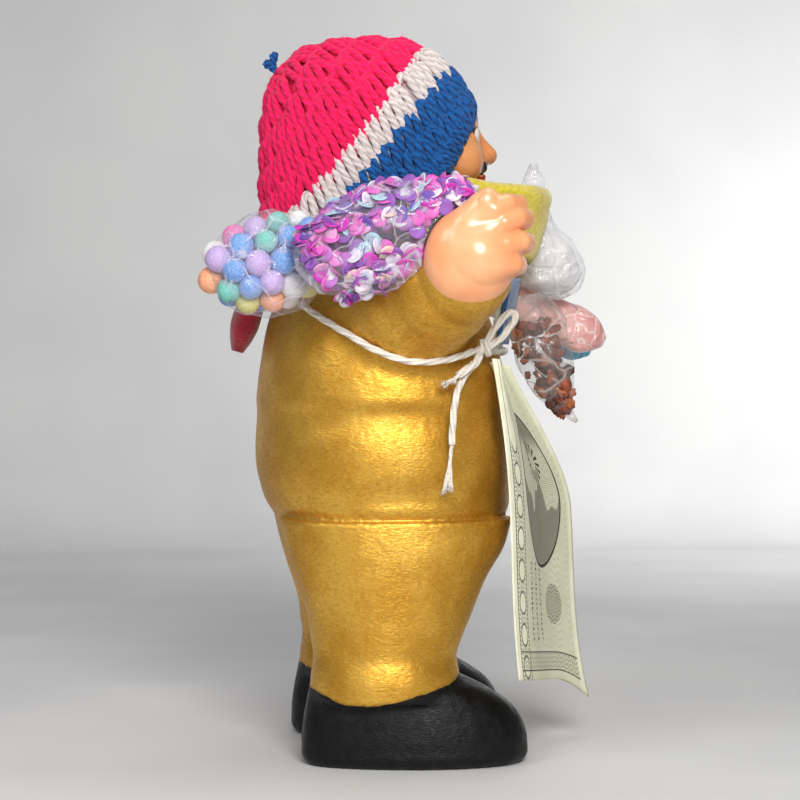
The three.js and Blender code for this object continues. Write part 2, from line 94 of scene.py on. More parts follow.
def eased(at, stops, values):
    """Values on a smooth curve through the given stops."""
    stops, values = np.asarray(stops, float), np.asarray(values, float)
    slope = np.gradient(values, stops, axis=0)
    at = np.asarray(at, float)
    i = np.clip(np.searchsorted(stops, at) - 1, 0, len(stops) - 2)
    gap = stops[i + 1] - stops[i]
    t = np.clip((at - stops[i]) / gap, 0, 1)
    if values.ndim > 1:
        t, gap = t[..., None], gap[..., None]
    return ((1 + 2 * t) * (1 - t) ** 2 * values[i] + t * (1 - t) ** 2 * gap * slope[i]
            + t * t * (3 - 2 * t) * values[i + 1] + t * t * (t - 1) * gap * slope[i + 1])


def line_through(points, step):
    """A smooth line through points, with a point about every step along it."""
    points = np.asarray(points, float)
    run = np.concatenate([[0], np.cumsum(np.linalg.norm(np.diff(points, axis=0), axis=1))])
    return eased(np.linspace(0, run[-1], max(int(round(run[-1] / step)), 4) + 1), run, points)


def unit(vectors):
    return vectors / np.maximum(np.linalg.norm(vectors, axis=-1, keepdims=True), 1e-9)


def strand(line, radius, sides=12, plies=3, ply_depth=0.0, turn=7.0, start=0.0):
    """A part: a tube along a line, with its twisted plies. Its height in the twist goes with it."""
    line = np.asarray(line, float)
    radius = np.broadcast_to(np.asarray(radius, float), len(line))
    along = unit(np.gradient(line, axis=0))
    side = np.cross(along[0], [0.31, 0.2, 0.93])
    sides_out = []
    for way in along:
        side = unit(side - way * (side @ way))
        sides_out.append(side)
    across = np.array(sides_out)
    over = np.cross(along, across)
    run = np.concatenate([[0], np.cumsum(np.linalg.norm(np.diff(line, axis=0), axis=1))])
    angle = np.linspace(0, 2 * math.pi, sides, endpoint=False)
    ply = np.cos(plies * (angle[None] - 2 * math.pi * run[:, None] / turn - start))
    reach = radius[:, None] * (1 + ply_depth * (ply - 1))
    rings = line[:, None] + reach[..., None] * (np.cos(angle)[None, :, None] * across[:, None]
                                                + np.sin(angle)[None, :, None] * over[:, None])
    return {**rings_part(rings), "ply": ply.ravel()}


def rings_part(rings, closed=False, capped=True):
    """A part whose rings are joined one to the next, with a face over each end."""
    count, sides = rings.shape[:2]
    row = np.arange(sides)
    ends = np.arange(count if closed else count - 1)[:, None]
    after = (ends + 1) % count
    quads = np.stack([ends * sides + row, ends * sides + (row + 1) % sides, after * sides + (row + 1) % sides,
                      after * sides + row], -1).reshape(-1, 4)
    faces = [quads]
    if capped and not closed:
        faces.append(np.stack([row[::-1], (count - 1) * sides + row]))
    return {"points": rings.reshape(-1, 3), "faces": faces}


def joined(parts):
    """One part from several."""
    faces, first = [], 0
    for part in parts:
        faces += [rows + first for rows in part["faces"]]
        first += len(part["points"])
    return {**{key: np.concatenate([part[key] for part in parts]) for key in parts[0] if key != "faces"},
            "faces": faces}


def make_piece(name, part, material, stands_for=()):
    """A mesh object of a part. What the part holds beside points and faces becomes attributes."""
    mesh = bpy.data.meshes.new(name)
    mesh.from_pydata(place(part["points"]).tolist(), [], [row for rows in part["faces"] for row in rows.tolist()])
    for key in part:
        if key in ("points", "faces"):
            continue
        values = np.asarray(part[key], np.float32)
        if values.ndim == 1:
            mesh.attributes.new(key, "FLOAT", "POINT").data.foreach_set("value", values)
        else:
            colours = np.concatenate([values, np.ones((len(values), 1), np.float32)], 1)
            mesh.attributes.new(key, "FLOAT_COLOR", "POINT").data.foreach_set("color", colours.ravel())
    work = bmesh.new()
    work.from_mesh(mesh)
    bmesh.ops.recalc_face_normals(work, faces=work.faces)
    work.to_mesh(mesh)
    work.free()
    mesh.shade_smooth()
    mesh.materials.append(material)
    made = bpy.data.objects.new(name, mesh)
    bpy.context.scene.collection.objects.link(made)
    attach(made, "root")
    if stands_for:
        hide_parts(*stands_for)
    return made


def tone(red, green, blue):
    """A colour as it looks on screen, from 0 to 255, as the shader's own."""
    return tuple((c / 12.92 if c <= 0.04045 else ((c + 0.055) / 1.055) ** 2.4)
                 for c in (red / 255, green / 255, blue / 255)) + (1.0,)


def put(tree, kind, inputs=None, **settings):
    """Adds a shader node, with its settings, values and links."""
    made = tree.nodes.new(kind)
    for key, value in settings.items():
        setattr(made, key, value)
    for key, value in (inputs or {}).items():
        if isinstance(value, bpy.types.NodeSocket):
            tree.links.new(value, made.inputs[key])
        else:
            made.inputs[key].default_value = value
    return made


def sum_of(tree, operation, first, second=0.0, third=0.0):
    """The result of one sum in the shader."""
    return put(tree, "ShaderNodeMath", {0: first, 1: second, 2: third}, operation=operation).outputs[0]


def mixed(tree, share, first, second):
    """One colour over another in the shader."""
    return put(tree, "ShaderNodeMix", {0: share, 6: first, 7: second}, data_type="RGBA").outputs[2]


def ramped(tree, value, low, high, out_low=0.0, out_high=1.0):
    """A value spread smoothly from one range to another."""
    return put(tree, "ShaderNodeMapRange", {0: value, 1: low, 2: high, 3: out_low, 4: out_high},
               interpolation_type="SMOOTHSTEP").outputs[0]


def new_material(name, **values):
    """A material, its node tree and its shader."""
    material = bpy.data.materials.new(name)
    material.use_nodes = True
    shader = material.node_tree.nodes["Principled BSDF"]
    for key, value in values.items():
        shader.inputs[key.replace("_", " ")].default_value = value
    return material, material.node_tree, shader


def surface_place(tree):
    return put(tree, "ShaderNodeTexCoord").outputs["Object"]


def noise(tree, where, scale, detail=3.0, rough=0.5):
    """Soft noise from 0 to 1. The scale is in bumps to the metre."""
    return put(tree, "ShaderNodeTexNoise", {"Vector": where, "Scale": scale, "Detail": detail, "Roughness": rough}).outputs[0]


def raised(tree, shader, height, depth, strength=1.0):
    """Bumps on the surface, of the given depth in metres."""
    bump = put(tree, "ShaderNodeBump", {"Height": height, "Distance": depth, "Strength": strength})
    tree.links.new(bump.outputs[0], shader.inputs["Normal"])


# Effect: the lie of loose fibres in wool, felt and cotton, as a tone and a height
fibre_effect = bpy.data.node_groups.new("loose_fibres", "ShaderNodeTree")
for socket_name, socket_kind, start_value in (("Fineness", "NodeSocketFloat", 900.0), ("Stretch", "NodeSocketFloat", 0.4)):
    fibre_effect.interface.new_socket(socket_name, in_out="INPUT", socket_type=socket_kind).default_value = start_value
for socket_name in ("Tone", "Height"):
    fibre_effect.interface.new_socket(socket_name, in_out="OUTPUT", socket_type="NodeSocketFloat")
effect_in = fibre_effect.nodes.new("NodeGroupInput")
effect_out = fibre_effect.nodes.new("NodeGroupOutput")
fibre_place = surface_place(fibre_effect)
fibre_wander = put(fibre_effect, "ShaderNodeTexNoise", {"Vector": fibre_place, "Scale": 160.0, "Detail": 1.0})
fibre_bend = put(fibre_effect, "ShaderNodeVectorMath", {0: fibre_wander.outputs["Color"], "Scale": 0.004},
                 operation="SCALE").outputs[0]
fibre_bent = put(fibre_effect, "ShaderNodeVectorMath", {0: fibre_place, 1: fibre_bend}, operation="ADD").outputs[0]
fibre_long = put(fibre_effect, "ShaderNodeMapping", {"Vector": fibre_bent, "Rotation": (0.5, 0.7, 0.2)})
fibre_squash = put(fibre_effect, "ShaderNodeCombineXYZ", {"X": 1.0, "Y": effect_in.outputs["Stretch"], "Z": 1.0})
fibre_effect.links.new(fibre_squash.outputs[0], fibre_long.inputs["Scale"])
fibre_fine = put(fibre_effect, "ShaderNodeTexNoise", {"Vector": fibre_long.outputs[0],
                                                      "Scale": effect_in.outputs["Fineness"], "Detail": 4.0, "Roughness": 0.62})
fibre_effect.links.new(fibre_fine.outputs[0], effect_out.inputs["Height"])
fibre_effect.links.new(ramped(fibre_effect, fibre_fine.outputs[0], 0.32, 0.68), effect_out.inputs["Tone"])


def fibres(tree, fineness, stretch=0.4):
    return put(tree, "ShaderNodeGroup", {"Fineness": fineness, "Stretch": stretch}, node_tree=fibre_effect)


def yarn_material(name, light, dark, fineness=1500.0, sheen=0.35, roughness=0.9, ply_shade_share=0.75):
    """Spun yarn, with painted shade darkening the grooves between its plies, and a fine lie of fibres that varies its
    tone.
    """
    material, tree, shader = new_material(name, Roughness=roughness, Sheen_Weight=sheen, Sheen_Roughness=0.4)
    loose = fibres(tree, fineness, 0.3)
    ply = put(tree, "ShaderNodeAttribute", attribute_name="ply").outputs["Fac"]
    # Painted shade: the colour darkens into the grooves between the plies; the loose fibres also vary it at random
    painted_ply_shading = ramped(tree, ply, -1.0, 0.6)
    share = sum_of(tree, "ADD", sum_of(tree, "MULTIPLY", painted_ply_shading, ply_shade_share),
                   sum_of(tree, "MULTIPLY", loose.outputs["Tone"], 1 - ply_shade_share))
    tree.links.new(mixed(tree, share, dark, light), shader.inputs["Base Color"])
    height = sum_of(tree, "ADD", sum_of(tree, "MULTIPLY", ply, 0.5), loose.outputs["Height"])
    raised(tree, shader, height, 0.0003)
    return material


white_cotton = yarn_material("white_cotton", tone(250, 245, 236), tone(222, 212, 196), sheen=0.5, ply_shade_share=0.5)


def loose_hairs(line, count, length, seed):
    """A part: fine short fibres that stand out of a strand."""
    draw = np.random.default_rng(seed)
    at = draw.integers(0, len(line), count)
    way = unit(draw.normal(size=(count, 3)))
    bend = unit(draw.normal(size=(count, 3)))
    reach = length * draw.uniform(0.4, 1, count)
    hairs = []
    for i in range(count):
        path = line[at[i]] + np.outer([0, 0.5, 1.0], way[i]) * reach[i] + np.outer([0, 0.1, 0.4], bend[i]) * reach[i]
        hairs.append(strand(path, [0.05, 0.045, 0.02], sides=3))
    return joined(hairs)


loop_line = line_through(STRING_ROUTE, 0.55)
string_loop = make_piece("string_loop", strand(loop_line, STRING_THICK / 2, sides=18, ply_depth=STRING_TWIST, turn=STRING_TURN),
                         white_cotton, ["string_loop"])

# The knot: turns of the string over a lump, and the one bow that stands up beside the chest
knot_turns = []
for turn_middle, turn_reach, turn_lean in (((0.3, -0.6, 0), 2.1, 0.25), ((-0.5, 0.9, 0.2), 1.9, -0.35)):
    turn_angle = np.linspace(0, 2 * math.pi, 30)
    knot_turns.append(strand(KNOT + np.array(turn_middle) + np.stack([
        turn_reach * np.cos(turn_angle), turn_lean * 1.6 * np.sin(turn_angle), turn_reach * np.sin(turn_angle)], -1),
        1.1, sides=14, ply_depth=STRING_TWIST, turn=STRING_TURN))
bow_line = line_through([(-41.6, 27.6, 129.8), (-42.4, 29.2, 132.4), (-43, 31.4, 135.8), (-43.4, 34, 138.9), (-43.5, 36, 140.2),
                         (-43.4, 37.2, 139.7), (-43.1, 37.1, 138.1), (-42.6, 35.2, 134.9), (-42, 32.4, 131.6),
                         (-41.4, 29, 129.2)], 0.5)
knot_core = strand(line_through([KNOT + (-2.4, -2.6, -1.6), KNOT, KNOT + (1.6, 2.2, 0.6)], 0.5), 1.6, sides=14)
string_knot = make_piece("string_knot", joined([*knot_turns, knot_core, strand(
    bow_line, STRING_THICK / 2, sides=16, ply_depth=STRING_TWIST, turn=STRING_TURN)]),
    white_cotton, ["string_knot"])


def frayed_end(root, way, length, spread, strands, seed):
    """A part: the separate strands of a cut end, which part from each other, with loose fibres."""
    draw = np.random.default_rng(seed)
    ends = []
    for number in range(strands):
        lean = spread * np.array([0.25 * draw.normal(), (number / (strands - 1) - 0.5) * 2, 0.15 * draw.normal()])
        reach = length * draw.uniform(0.86, 1.02)
        t = np.linspace(0, 1, 14)[:, None]
        wave = 0.25 * np.sin(t * 5 + number)
        path = root + way * t * reach + lean * (0.25 * t + 0.75 * t ** 2.2) + wave * np.array([0.4, 0.8, 0])
        ends.append(strand(path, np.linspace(0.62, 0.42, 14), sides=8, plies=2, ply_depth=0.12, turn=3.0))
        tip = path[-1]
        for _ in range(7):
            hair_way = unit(way + 0.55 * draw.normal(size=3))
            hair = tip + np.outer([-0.6, 0.4, 1.0], hair_way) * draw.uniform(0.8, 1.9)
            ends.append(strand(hair, [0.16, 0.11, 0.03], sides=4))
    return joined(ends)


tail_line = line_through(TAIL_ROUTE, 0.5)
split_at = int(len(tail_line) * 0.62)
tail_way = unit(tail_line[-1] - tail_line[split_at])
tail_part = joined([
    strand(tail_line[:split_at + 4], STRING_THICK / 2, sides=18, ply_depth=STRING_TWIST, turn=STRING_TURN),
    frayed_end(tail_line[split_at], tail_way, np.linalg.norm(tail_line[-1] - tail_line[split_at]), 1.1, 4, 5)])
string_tail_long = make_piece("string_tail_long", tail_part, white_cotton, ["string_tail_long"])
stub_line = line_through([(-44.8, 26, 126.6), (-46.6, 24.2, 124.4), (-49.2, 21, 122.4), (-50.6, 18.6, 121)], 0.5)
stub_part = joined([
    strand(stub_line, 1.25, sides=18, ply_depth=STRING_TWIST, turn=STRING_TURN),
    frayed_end(stub_line[-3], unit(np.array([-1.4, -3.6, -2.8])), 5.4, 1.3, 4, 9)])
string_tail_short = make_piece("string_tail_short", stub_part, white_cotton, ["string_tail_short"])


# The body: one hollow casting of smooth clay, in a belted tunic over full trousers, with the shoes
# cast in one with it. It is sprayed with gold, and the shoes are brushed with black lacquer.
TUNIC = [  # height, rear edge, front edge, half width
    (66, -31, 35, 39), (73.6, -33.8, 38.4, 43.6), (75.6, -34.6, 39.2, 44.4), (77.2, -35.6, 40.2, 46), (79.4, -37, 40.8, 46.8),
    (82, -38.1, 41, 46.7), (85, -39, 41.1, 47.2), (88.5, -39.9, 41.2, 48.5), (93, -40.5, 41.2, 49.1), (101, -40.5, 40.9, 48.9),
    (107, -40.1, 40.4, 47.9), (109.4, -40.1, 40.4, 47.9), (112.6, -40.3, 40.4, 49.2), (116, -40, 40, 49), (124, -39, 38.5, 47.6),
    (140, -35.6, 34, 43), (151, -30.5, 28, 36), (160, -22.5, 21.5, 26), (167, -17, 17, 19.5), (184, -16.5, 16.5, 18.5)]
TROUSER_LEG = [
    (20, -24.6, 21.8, 19.7), (26.5, -24.7, 22, 19.9), (30.5, -24.2, 21.3, 19.3), (33.4, -23.9, 21, 19), (38, -24.5, 22.4, 19.6),
    (45, -25.4, 25.4, 20.4), (58, -29.4, 31, 22), (67, -32, 36.4, 23), (76, -34, 39, 23.4)]
HIPS = [(56, -16, 18, 10), (62, -26, 29, 33), (70, -32, 36.5, 42.5)]
SHOE = [
    (0, -25.8, 41.6, 17), (1.4, -27, 42.8, 18.2), (6, -27.6, 43.3, 18.6), (12, -27.2, 42, 18.2),
    (18, -26.2, 37.8, 17.4), (23.5, -24.8, 29.4, 16.6), (28, -22, 20, 14)]
SLEEVE = [
    (14, -1, 140.5, 21), (32, 2, 141.5, 21), (43, 6, 143.5, 20.4), (54, 12, 147, 17.6), (61.5, 17, 150, 15),
    (64.5, 18.8, 151.4, 14.2)]
FEET_APART = 56


def melt(first, second, soften):
    """Two forms run together with a soft joint."""
    share = np.clip(0.5 + 0.5 * (second - first) / soften, 0, 1)
    return second * (1 - share) + first * share - soften * share * (1 - share)


def level_form(x, forward, z, table, middle=0.0, power=2.3):
    """How far a place is outside a body of level oval rings."""
    table = np.asarray(table, float)
    inside_z = np.clip(z, table[0, 0], table[-1, 0])
    edges = eased(inside_z, table[:, 0], table[:, 1:])
    back, front, half = edges[..., 0], edges[..., 1], edges[..., 2]
    deep = (front - back) / 2
    ratio = (np.abs((x - middle) / half) ** power + np.abs((forward - (front + back) / 2) / deep) ** power) ** (1 / power)
    round_out = (ratio - 1) * np.minimum(half, deep)
    past = np.abs(z - inside_z)
    return np.where(past > 0, np.hypot(np.maximum(round_out, 0), past), np.maximum(round_out, np.maximum(
        table[0, 0] - z, z - table[-1, 0])))


def limb_form(x, forward, z, stations, soften=0.0):
    """How far a place is outside a chain of tapered rods with round ends."""
    found = None
    for first, second in zip(stations[:-1], stations[1:]):
        start, end = np.array(first[:3], float), np.array(second[:3], float)
        way = end - start
        t = np.clip(((x - start[0]) * way[0] + (forward - start[1]) * way[1] + (z - start[2]) * way[2]) / (way @ way), 0, 1)
        gap = np.sqrt((x - start[0] - t * way[0]) ** 2 + (forward - start[1] - t * way[1]) ** 2
                      + (z - start[2] - t * way[2]) ** 2) - (first[3] + (second[3] - first[3]) * t)
        found = gap if found is None else (melt(found, gap, soften) if soften else np.minimum(found, gap))
    return found


def egg_form(x, forward, z, middle, sizes):
    """How far a place is outside an egg."""
    x, forward, z = x - middle[0], forward - middle[1], z - middle[2]
    near = np.sqrt((x / sizes[0]) ** 2 + (forward / sizes[1]) ** 2 + (z / sizes[2]) ** 2)
    steep = np.sqrt((x / sizes[0] ** 2) ** 2 + (forward / sizes[1] ** 2) ** 2 + (z / sizes[2] ** 2) ** 2)
    return near * (near - 1) / np.maximum(steep, 1e-6)


def body_form(x, forward, z):
    x = np.abs(x)
    leg_middle = FEET_APART / 2 - 0.09 * np.maximum(z - 30, 0)
    legs = level_form(x, forward, z, TROUSER_LEG, leg_middle, 2.2)
    legs = melt(legs, level_form(x, forward, z, HIPS), 4)
    t = np.clip((forward + 27) / 45, 0, 1)
    narrow = 0.8 + 0.2 * t * t * (3 - 2 * t)
    shoe = level_form((x - FEET_APART / 2) / narrow, forward, z, SHOE, 0.0, 2.5)
    tunic = level_form(x, forward, z, TUNIC, 0.0, 2.35)
    whole = melt(legs, shoe, 1.0)
    whole = melt(whole, tunic, 1.6)
    return melt(whole, limb_form(x, forward, z, SLEEVE), 5)


def cast_part(form, low, high, step, close=3):
    """A part: the even skin of a form, found on a grid of cubes and then drawn onto the form."""
    axes = [np.arange(a, b + step, step) for a, b in zip(low, high)]
    values = form(axes[0][:, None, None], axes[1][None, :, None], axes[2][None, None, :])
    cells = tuple(n - 1 for n in values.shape)
    total = np.zeros(cells + (3,), np.float32)
    count = np.zeros(cells, np.int16)
    crossings = []
    for axis in range(3):
        others = [a for a in range(3) if a != axis]
        near, far = [slice(None)] * 3, [slice(None)] * 3
        near[axis], far[axis] = slice(0, -1), slice(1, None)
        here, there = values[tuple(near)], values[tuple(far)]
        crossed = (here < 0) != (there < 0)
        t = np.where(crossed, here / np.where(here == there, 1, here - there), 0)
        crossings.append((axis, crossed, here < 0))
        for i in (0, 1):
            for j in (0, 1):
                cut = [slice(None)] * 3
                cut[others[0]] = slice(i, i + cells[others[0]])
                cut[others[1]] = slice(j, j + cells[others[1]])
                hit = crossed[tuple(cut)]
                count += hit
                total[..., axis] += hit * t[tuple(cut)]
                total[..., others[0]] += hit * i
                total[..., others[1]] += hit * j
    found = np.argwhere(count > 0)
    number = np.full(cells, -1)
    number[count > 0] = np.arange(len(found))
    points = np.array(low, float) + step * (found + total[count > 0] / count[count > 0][:, None])
    quads = []
    for axis, crossed, starts_in in crossings:
        others = [a for a in range(3) if a != axis]
        at = np.argwhere(crossed)
        at = at[(at[:, others[0]] > 0) & (at[:, others[1]] > 0) & (at[:, others[0]] < cells[others[0]])
                & (at[:, others[1]] < cells[others[1]])]
        corners = []
        for i, j in ((-1, -1), (0, -1), (0, 0), (-1, 0)):
            spot = at.copy()
            spot[:, others[0]] += i
            spot[:, others[1]] += j
            corners.append(number[tuple(spot.T)])
        corners = np.stack(corners, 1)
        flip = starts_in[tuple(at.T)] == (axis == 1)
        corners[flip] = corners[flip][:, ::-1]
        quads.append(corners)
    quads = np.concatenate(quads)
    for _ in range(close):
        points = onto(form, points)
    return {"points": points, "faces": [quads[(quads >= 0).all(1)]]}


def slope_of(form, points, step=0.25):
    """The way out of a form at some places, and how far out they are."""
    slope = np.stack([form(*(points + shift).T) - form(*(points - shift).T) for shift in np.eye(3) * step], 1) / (2 * step)
    return slope, form(*points.T)


def onto(form, points, away=0.0):
    """The places moved onto a form, or to a distance from it."""
    slope, gap = slope_of(form, points)
    steep = np.maximum((slope ** 2).sum(1), 0.05)
    return points - slope * ((gap - away) / steep)[:, None] * 0.9


body_part = cast_part(body_form, (-82, -43, -1), (82, 46, 172), 1.0)
body_x, body_forward, body_z = body_part["points"].T
shoe_line = eased(body_forward, [-30, -24, -13, 0, 12, 19, 24, 34], [24.5, 23.5, 19.8, 21.4, 24.4, 26.6, 30, 33])
body_part["gilt"] = body_z - shoe_line

# Effect: the uneven lie of a brushed or sprayed metal paint, as a broad tone and a fine grain, with specks that are
# painted glints of its metal flakes
spray_effect = bpy.data.node_groups.new("sprayed_metal", "ShaderNodeTree")
spray_effect.interface.new_socket("Fineness", in_out="INPUT", socket_type="NodeSocketFloat").default_value = 700.0
for socket_name in ("Broad", "Grain", "Glint_specks"):
    spray_effect.interface.new_socket(socket_name, in_out="OUTPUT", socket_type="NodeSocketFloat")
effect_in = spray_effect.nodes.new("NodeGroupInput")
effect_out = spray_effect.nodes.new("NodeGroupOutput")
spray_place = surface_place(spray_effect)
spray_effect.links.new(ramped(spray_effect, noise(spray_effect, spray_place, 55.0, 4.0, 0.55), 0.35, 0.65),
                       effect_out.inputs["Broad"])
spray_level = put(spray_effect, "ShaderNodeMapping", {"Vector": spray_place, "Scale": (1.0, 1.0, 2.6)}).outputs[0]
spray_effect.links.new(put(spray_effect, "ShaderNodeTexNoise", {"Vector": spray_level, "Scale": effect_in.outputs["Fineness"],
                                                                "Detail": 3.0, "Roughness": 0.6}).outputs[0],
                       effect_out.inputs["Grain"])
spray_effect.links.new(ramped(spray_effect, noise(spray_effect, spray_place, 1500.0, 2.0), 0.56, 0.74),
                       effect_out.inputs["Glint_specks"])

gold_and_black, tree, shader = new_material("gold_and_black", Specular_IOR_Level=0.3)
spray = put(tree, "ShaderNodeGroup", {"Fineness": 650.0}, node_tree=spray_effect)
where = surface_place(tree)
wobble = sum_of(tree, "MULTIPLY_ADD", noise(tree, where, 260.0, 2.0), 1.3, -0.65)
gilt = sum_of(tree, "ADD", put(tree, "ShaderNodeAttribute", attribute_name="gilt").outputs["Fac"], wobble)
on_gold = ramped(tree, gilt, -0.12, 0.12)
gold_tone = mixed(tree, spray.outputs["Broad"], tone(204, 152, 52), tone(226, 178, 74))
gold_tone = mixed(tree, sum_of(tree, "MULTIPLY", ramped(tree, spray.outputs["Grain"], 0.4, 0.7), 0.45), gold_tone, tone(176, 118, 26))
# Painted glints: pale gold specks stand in for the sparkle of the paint's metal flakes
gold_tone = mixed(tree, sum_of(tree, "MULTIPLY", spray.outputs["Glint_specks"], 0.35), gold_tone, tone(250, 216, 130))
# Painted shade: the gold darkens over the last 1.2 mm above the shoe line, in the crease where the trousers meet the
# shoes
gold_tone = mixed(tree, ramped(tree, gilt, 0.0, 1.2, 0.35, 0.0), gold_tone, tone(96, 58, 16))
black_tone = mixed(tree, ramped(tree, noise(tree, where, 330.0, 5.0, 0.7), 0.5, 0.72), tone(5, 5, 5), tone(20, 19, 19))
painted = mixed(tree, on_gold, black_tone, gold_tone)
chips = None
for chip_place, chip_size in (((-46.2, 29.5, 21.2), 0.95), ((-43, -13.4, 1.2), 0.9)):
    far = put(tree, "ShaderNodeVectorMath", {0: where, 1: tuple(place(chip_place))}, operation="DISTANCE").outputs["Value"]
    rim_noise = sum_of(tree, "MULTIPLY_ADD", noise(tree, where, 1400.0, 2.0), 0.0012, -0.0006)
    chip = ramped(tree, sum_of(tree, "ADD", far, rim_noise), chip_size / 1000, chip_size / 1000 - 0.0002)
    chips = chip if chips is None else sum_of(tree, "MAXIMUM", chips, chip)
painted = mixed(tree, chips, painted, tone(186, 110, 74))
tree.links.new(painted, shader.inputs["Base Color"])
bare_metal = sum_of(tree, "MULTIPLY", on_gold, 0.7)
tree.links.new(bare_metal, shader.inputs["Metallic"])
gold_rough = ramped(tree, spray.outputs["Grain"], 0.3, 0.7, 0.36, 0.5)
black_rough = ramped(tree, noise(tree, where, 240.0, 4.0, 0.6), 0.35, 0.7, 0.36, 0.55)
tree.links.new(put(tree, "ShaderNodeMix", {0: on_gold, 2: black_rough, 3: gold_rough}).outputs[0], shader.inputs["Roughness"])
body_height = sum_of(tree, "ADD", sum_of(tree, "MULTIPLY", noise(tree, where, 190.0, 3.0), 2.2), spray.outputs["Grain"])
raised(tree, shader, body_height, 0.00018, 0.9)
figure_body = make_piece("figure_body", body_part, gold_and_black, ["figure"])


# The hands: cast with the arms and painted a warm flesh colour under a clear gloss, each a soft fist
# with a raised thumb. Grooves part the fingers.
FINGERS = [  # where each leaves the back of the hand, where it bends, and where it turns in: forward, up
    ((18, 165.5), (29.5, 171), (33.2, 171)), ((17, 162), (32.4, 167.2), (35, 167)),
    ((17, 157.6), (33.4, 160.4), (35.6, 160)), ((18.5, 153.6), (31.2, 153.8), (33, 153.6))]


def hand_form(x, forward, z):
    x = np.abs(x)
    whole = egg_form(x, forward, z, (72.4, 19.6, 157.2), (8.4, 13.4, 13.2))
    wrist = limb_form(x, forward, z, [(58, 14.8, 148.8, 13.4), (66, 18.8, 152, 13.2), (74, 21.6, 155.5, 8.6)])
    whole = melt(whole, wrist, 4)
    fingers = None
    for (root_forward, root_up), (bend_forward, bend_up), (end_forward, end_up) in FINGERS:
        finger = limb_form(x, forward, z, [
            (74.4, root_forward, root_up, 4.2), (77.2, bend_forward - 4, (bend_up * 2 + root_up) / 3, 3.5),
            (76.4, bend_forward, bend_up, 3.2), (72, end_forward, end_up, 3.2), (66.5, end_forward - 1.5, end_up - 0.5, 3)])
        fingers = finger if fingers is None else melt(fingers, finger, 0.9)
    whole = melt(whole, fingers, 2.4)
    thumb = limb_form(x, forward, z, [
        (71, 13.4, 159, 5), (74, 18.6, 166, 5), (75.2, 22.2, 170.2, 4.5), (75.4, 24, 172.4, 3.6)])
    whole = melt(whole, thumb, 1.5)
    nail = egg_form(x, forward, z, (79.3, 23.4, 171.2), (1.1, 2.6, 3.2))
    return melt(whole, nail, 0.5)


def one_side(form, side):
    """The form on one side only, closed where it would pass the middle."""
    return lambda x, forward, z: np.maximum(form(x, forward, z), 40 - side * x)


flesh_paint, tree, shader = new_material("flesh_paint", Roughness=0.3, Coat_Weight=0.35, Coat_Roughness=0.12,
                                         Subsurface_Weight=0.06, Subsurface_Radius=(0.004, 0.0015, 0.0008))
where = surface_place(tree)
flesh_tone = mixed(tree, ramped(tree, noise(tree, where, 70.0, 3.0), 0.35, 0.65), tone(246, 164, 112), tone(252, 184, 134))
flesh_wear = sum_of(tree, "MULTIPLY", ramped(tree, noise(tree, where, 900.0, 3.0, 0.7), 0.66, 0.74), 0.25)
tree.links.new(mixed(tree, flesh_wear, flesh_tone, tone(206, 118, 74)), shader.inputs["Base Color"])
raised(tree, shader, noise(tree, where, 300.0, 3.0), 0.00012, 0.7)
for side, hand_name in ((-1, "right_hand"), (1, "left_hand")):
    hand_low, hand_high = sorted([side * 56, side * 87])
    make_piece(hand_name, cast_part(one_side(hand_form, side), (hand_low, 0, 132), (hand_high, 42, 182), 0.5),
               flesh_paint)


# The head: cast with the body, a calm doll's face in even thirds, painted tan, with black hair,
# eyebrows and moustache, white eyes and red lips
CROWN_HEIGHT, CHIN_HEIGHT, FACE_FRONT = 222, 175.5, 34
face_third = (CROWN_HEIGHT - CHIN_HEIGHT - 5) / 3
nose_foot = CHIN_HEIGHT + face_third
eye_line = CHIN_HEIGHT + (CROWN_HEIGHT - CHIN_HEIGHT) / 2
lip_line = nose_foot - face_third / 3
SKULL = [
    (150, -18, 19, 18.6), (168.6, -18.6, 20, 19.4), (172, -24, 21.6, 21.6), (176, -31, 23, 23.2), (182, -33.4, 24, 24.4),
    (190, -33.8, 24, 27), (200, -33, 22.5, 27), (208, -30.4, 19, 25), (215, -24.6, 12, 19), (220.4, -14, 2, 8)]


